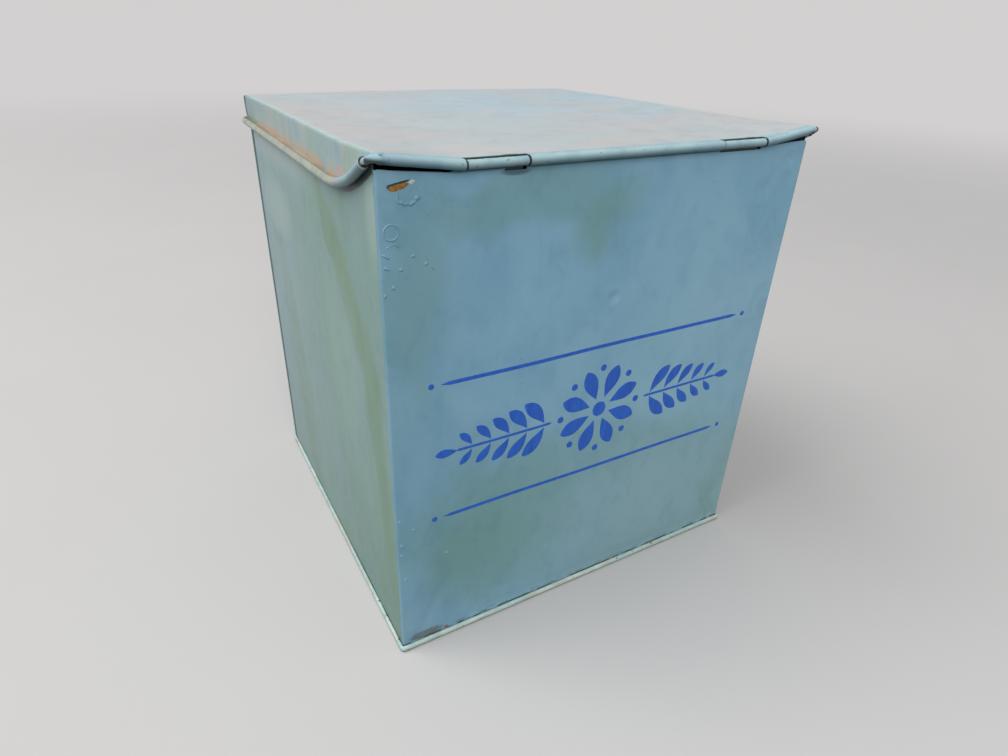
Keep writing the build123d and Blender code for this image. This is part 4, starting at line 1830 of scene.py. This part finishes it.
def lineOver(patches, key, slot=0):
    # A raised line, smooth through its few places.
    line, widths, count, height = lineSet[key]
    line = np.array(line, float)
    at = np.linspace(0, len(line) - 1, count)
    share = np.arange(len(line))
    spine = np.column_stack([np.interp(at, share, line[:, k]) for k in (0, 1)])
    for _ in range(3):
        spine[1:-1] = (spine[:-2] + 2 * spine[1:-1] + spine[2:]) / 4
    size = np.interp(at, np.linspace(0, len(line) - 1, len(widths)), widths)
    ends = np.sqrt(np.clip(np.minimum(at, at[::-1]) / 0.6, 0, 1))
    lensOver(patches, spine, np.maximum(size * ends, 0.03), height, slot)


def marksPiece():
    raised = Patches()
    t = np.linspace(-1, 1, 13)
    for x, z, wide, high, turn, height in markSet["bumps"]:
        c = math.cos(math.radians(turn))
        s = math.sin(math.radians(turn))
        spine = np.column_stack([x + t * wide * c, z + t * wide * s])
        lensOver(raised, spine, np.maximum(2 * high * np.sqrt(1 - t**2), 0.03), 1.4 * height)
    for x, z, reach, width, height, turned in markSet["rings"]:
        a = np.radians(90 + turned * np.linspace(-0.5, 0.5, 46))
        spine = np.column_stack([x + reach * np.cos(a), z + reach * np.sin(a)])
        widths = width * (1 + 0.2 * np.sin(3 * a))
        widths[-1] = widths[0]
        if turned < 360:
            widths = np.maximum(widths * np.sqrt(np.sin(math.pi * np.linspace(0, 1, 46)).clip(0)), 0.03)
        lensOver(raised, spine, widths, height)
    lineOver(raised, "ridge")
    closedPiece("paintBlisters", raised, [frontFinish], "tin")

    chip = Patches()
    for slot, key in enumerate(("chip", "chipWhite", "chipLip")):
        lineOver(chip, key, slot)
    # the lifted lip is dark all over, a painted shadow
    finishes = [chipFinish("chipOchre"), chipFinish("chipWhite"), paintedShadeFinish]
    closedPiece("paintChip", chip, finishes, "tin")


marksPiece()
ornamentPiece()
print("ornament ready")

# what stays as solids gets its finish here
for name in ("bottom_solder", "strap_solder", "lid_solder"):
    node = frame["nodes"][name]
    node.data.materials.clear()
    node.data.materials.append(solderFinish)


# Floor, world and lamps

stageSet = {
    "floor": tone(205, 202, 200),
    "floorCloud": tone(203, 200, 198),
    "bounce": (0.06, 0.06, 0.065, 1),
    "backdrop": (0.645, 0.632, 0.630, 1),
    "reach": 3.2,
    "worldColor": (0.93, 0.965, 1.0, 1),
    "worldLight": 0.45,
}

lampSet = [
    # name, place, aim, size, watts
    ("key", (-2.5, 0.8, 3.3), (0, 0, 0.2), 3.2, 105),
    ("fill", (-1.5, -3.4, 2.2), (0, 0, 0.15), 3.0, 103),
]


def makeFloor():
    # A round floor whose far part takes the backdrop's tone.
    count = 72
    rings = [0.6, 1.6, stageSet["reach"], 8, 40]
    ring = [(math.cos(a), math.sin(a)) for a in np.linspace(0, 2 * math.pi, count + 1)[:-1]]
    points = [(r * c, r * s, 0) for r in rings for c, s in ring]
    faces = [tuple(range(count))]
    for k in range(len(rings) - 1):
        here, after = k * count, (k + 1) * count
        for n in range(count):
            m = (n + 1) % count
            faces.append((here + n, after + n, after + m, here + m))
    mesh = bpy.data.meshes.new("floor")
    mesh.from_pydata(points, [], faces)
    floor = bpy.data.objects.new("floor", mesh)
    bpy.context.collection.objects.link(floor)
    finish = Finish("floorPaint", {"Roughness": 0.85, "Specular IOR Level": 0.25})
    patch = finish.grain(180, 2, 0.5)
    shown = finish.blend(patch.rise(0.2, 0.8), stageSet["floor"], stageSet["floorCloud"])
    direct = seenRays(finish)
    finish.feed("Base Color", finish.blend(direct, stageSet["bounce"], shown))
    # far away it gives off the backdrop's tone, and only to what looks at it
    far = (finish.x * finish.x + finish.y * finish.y) ** 0.5
    share = far.rise(700, stageSet["reach"] * 1000)
    glow = finish.add("ShaderNodeEmission", {}, {"Color": stageSet["backdrop"], "Strength": 1})
    out = finish.tree.nodes["Material Output"]
    mix = finish.add("ShaderNodeMixShader", {}, {0: share * direct, 2: glow})
    finish.tree.links.new(finish.shader.outputs[0], mix.socket.node.inputs[1])
    finish.tree.links.new(mix.socket, out.inputs["Surface"])
    mesh.materials.append(finish.material)


def seenRays(finish):
    # 1 for what is seen directly, in a reflection or through glass.
    names = ("Is Camera Ray", "Is Glossy Ray", "Is Transmission Ray")
    camera, glossy, through = (finish.add("ShaderNodeLightPath", {}, {}, name) for name in names)
    return camera.atLeast(glossy).atLeast(through)


def makeWorld():
    world = bpy.data.worlds.new("world")
    world.use_nodes = True
    tree = world.node_tree
    plain = tree.nodes["Background"]
    plain.inputs[0].default_value = stageSet["worldColor"]
    plain.inputs[1].default_value = stageSet["worldLight"]
    seen = tree.nodes.new("ShaderNodeBackground")
    seen.inputs[0].default_value = stageSet["backdrop"]
    rays = tree.nodes.new("ShaderNodeLightPath")
    mix = tree.nodes.new("ShaderNodeMixShader")
    tree.links.new(rays.outputs["Is Camera Ray"], mix.inputs[0])
    tree.links.new(plain.outputs[0], mix.inputs[1])
    tree.links.new(seen.outputs[0], mix.inputs[2])
    tree.links.new(mix.outputs[0], tree.nodes["World Output"].inputs[0])
    bpy.context.scene.world = world


def makeLamps():
    for name, place, aim, size, watts in lampSet:
        data = bpy.data.lights.new(name, "AREA")
        data.energy = watts
        data.size = size
        lamp = bpy.data.objects.new(name, data)
        lamp.location = place
        way = np.array(aim) - np.array(place)
        flat = math.hypot(way[0], way[1])
        lamp.rotation_euler = (math.atan2(flat, -way[2]), 0, math.atan2(-way[0], way[1]))
        bpy.context.collection.objects.link(lamp)


makeFloor()
makeWorld()
makeLamps()
bpy.context.scene.view_settings.view_transform = "Standard"
print("stage ready")
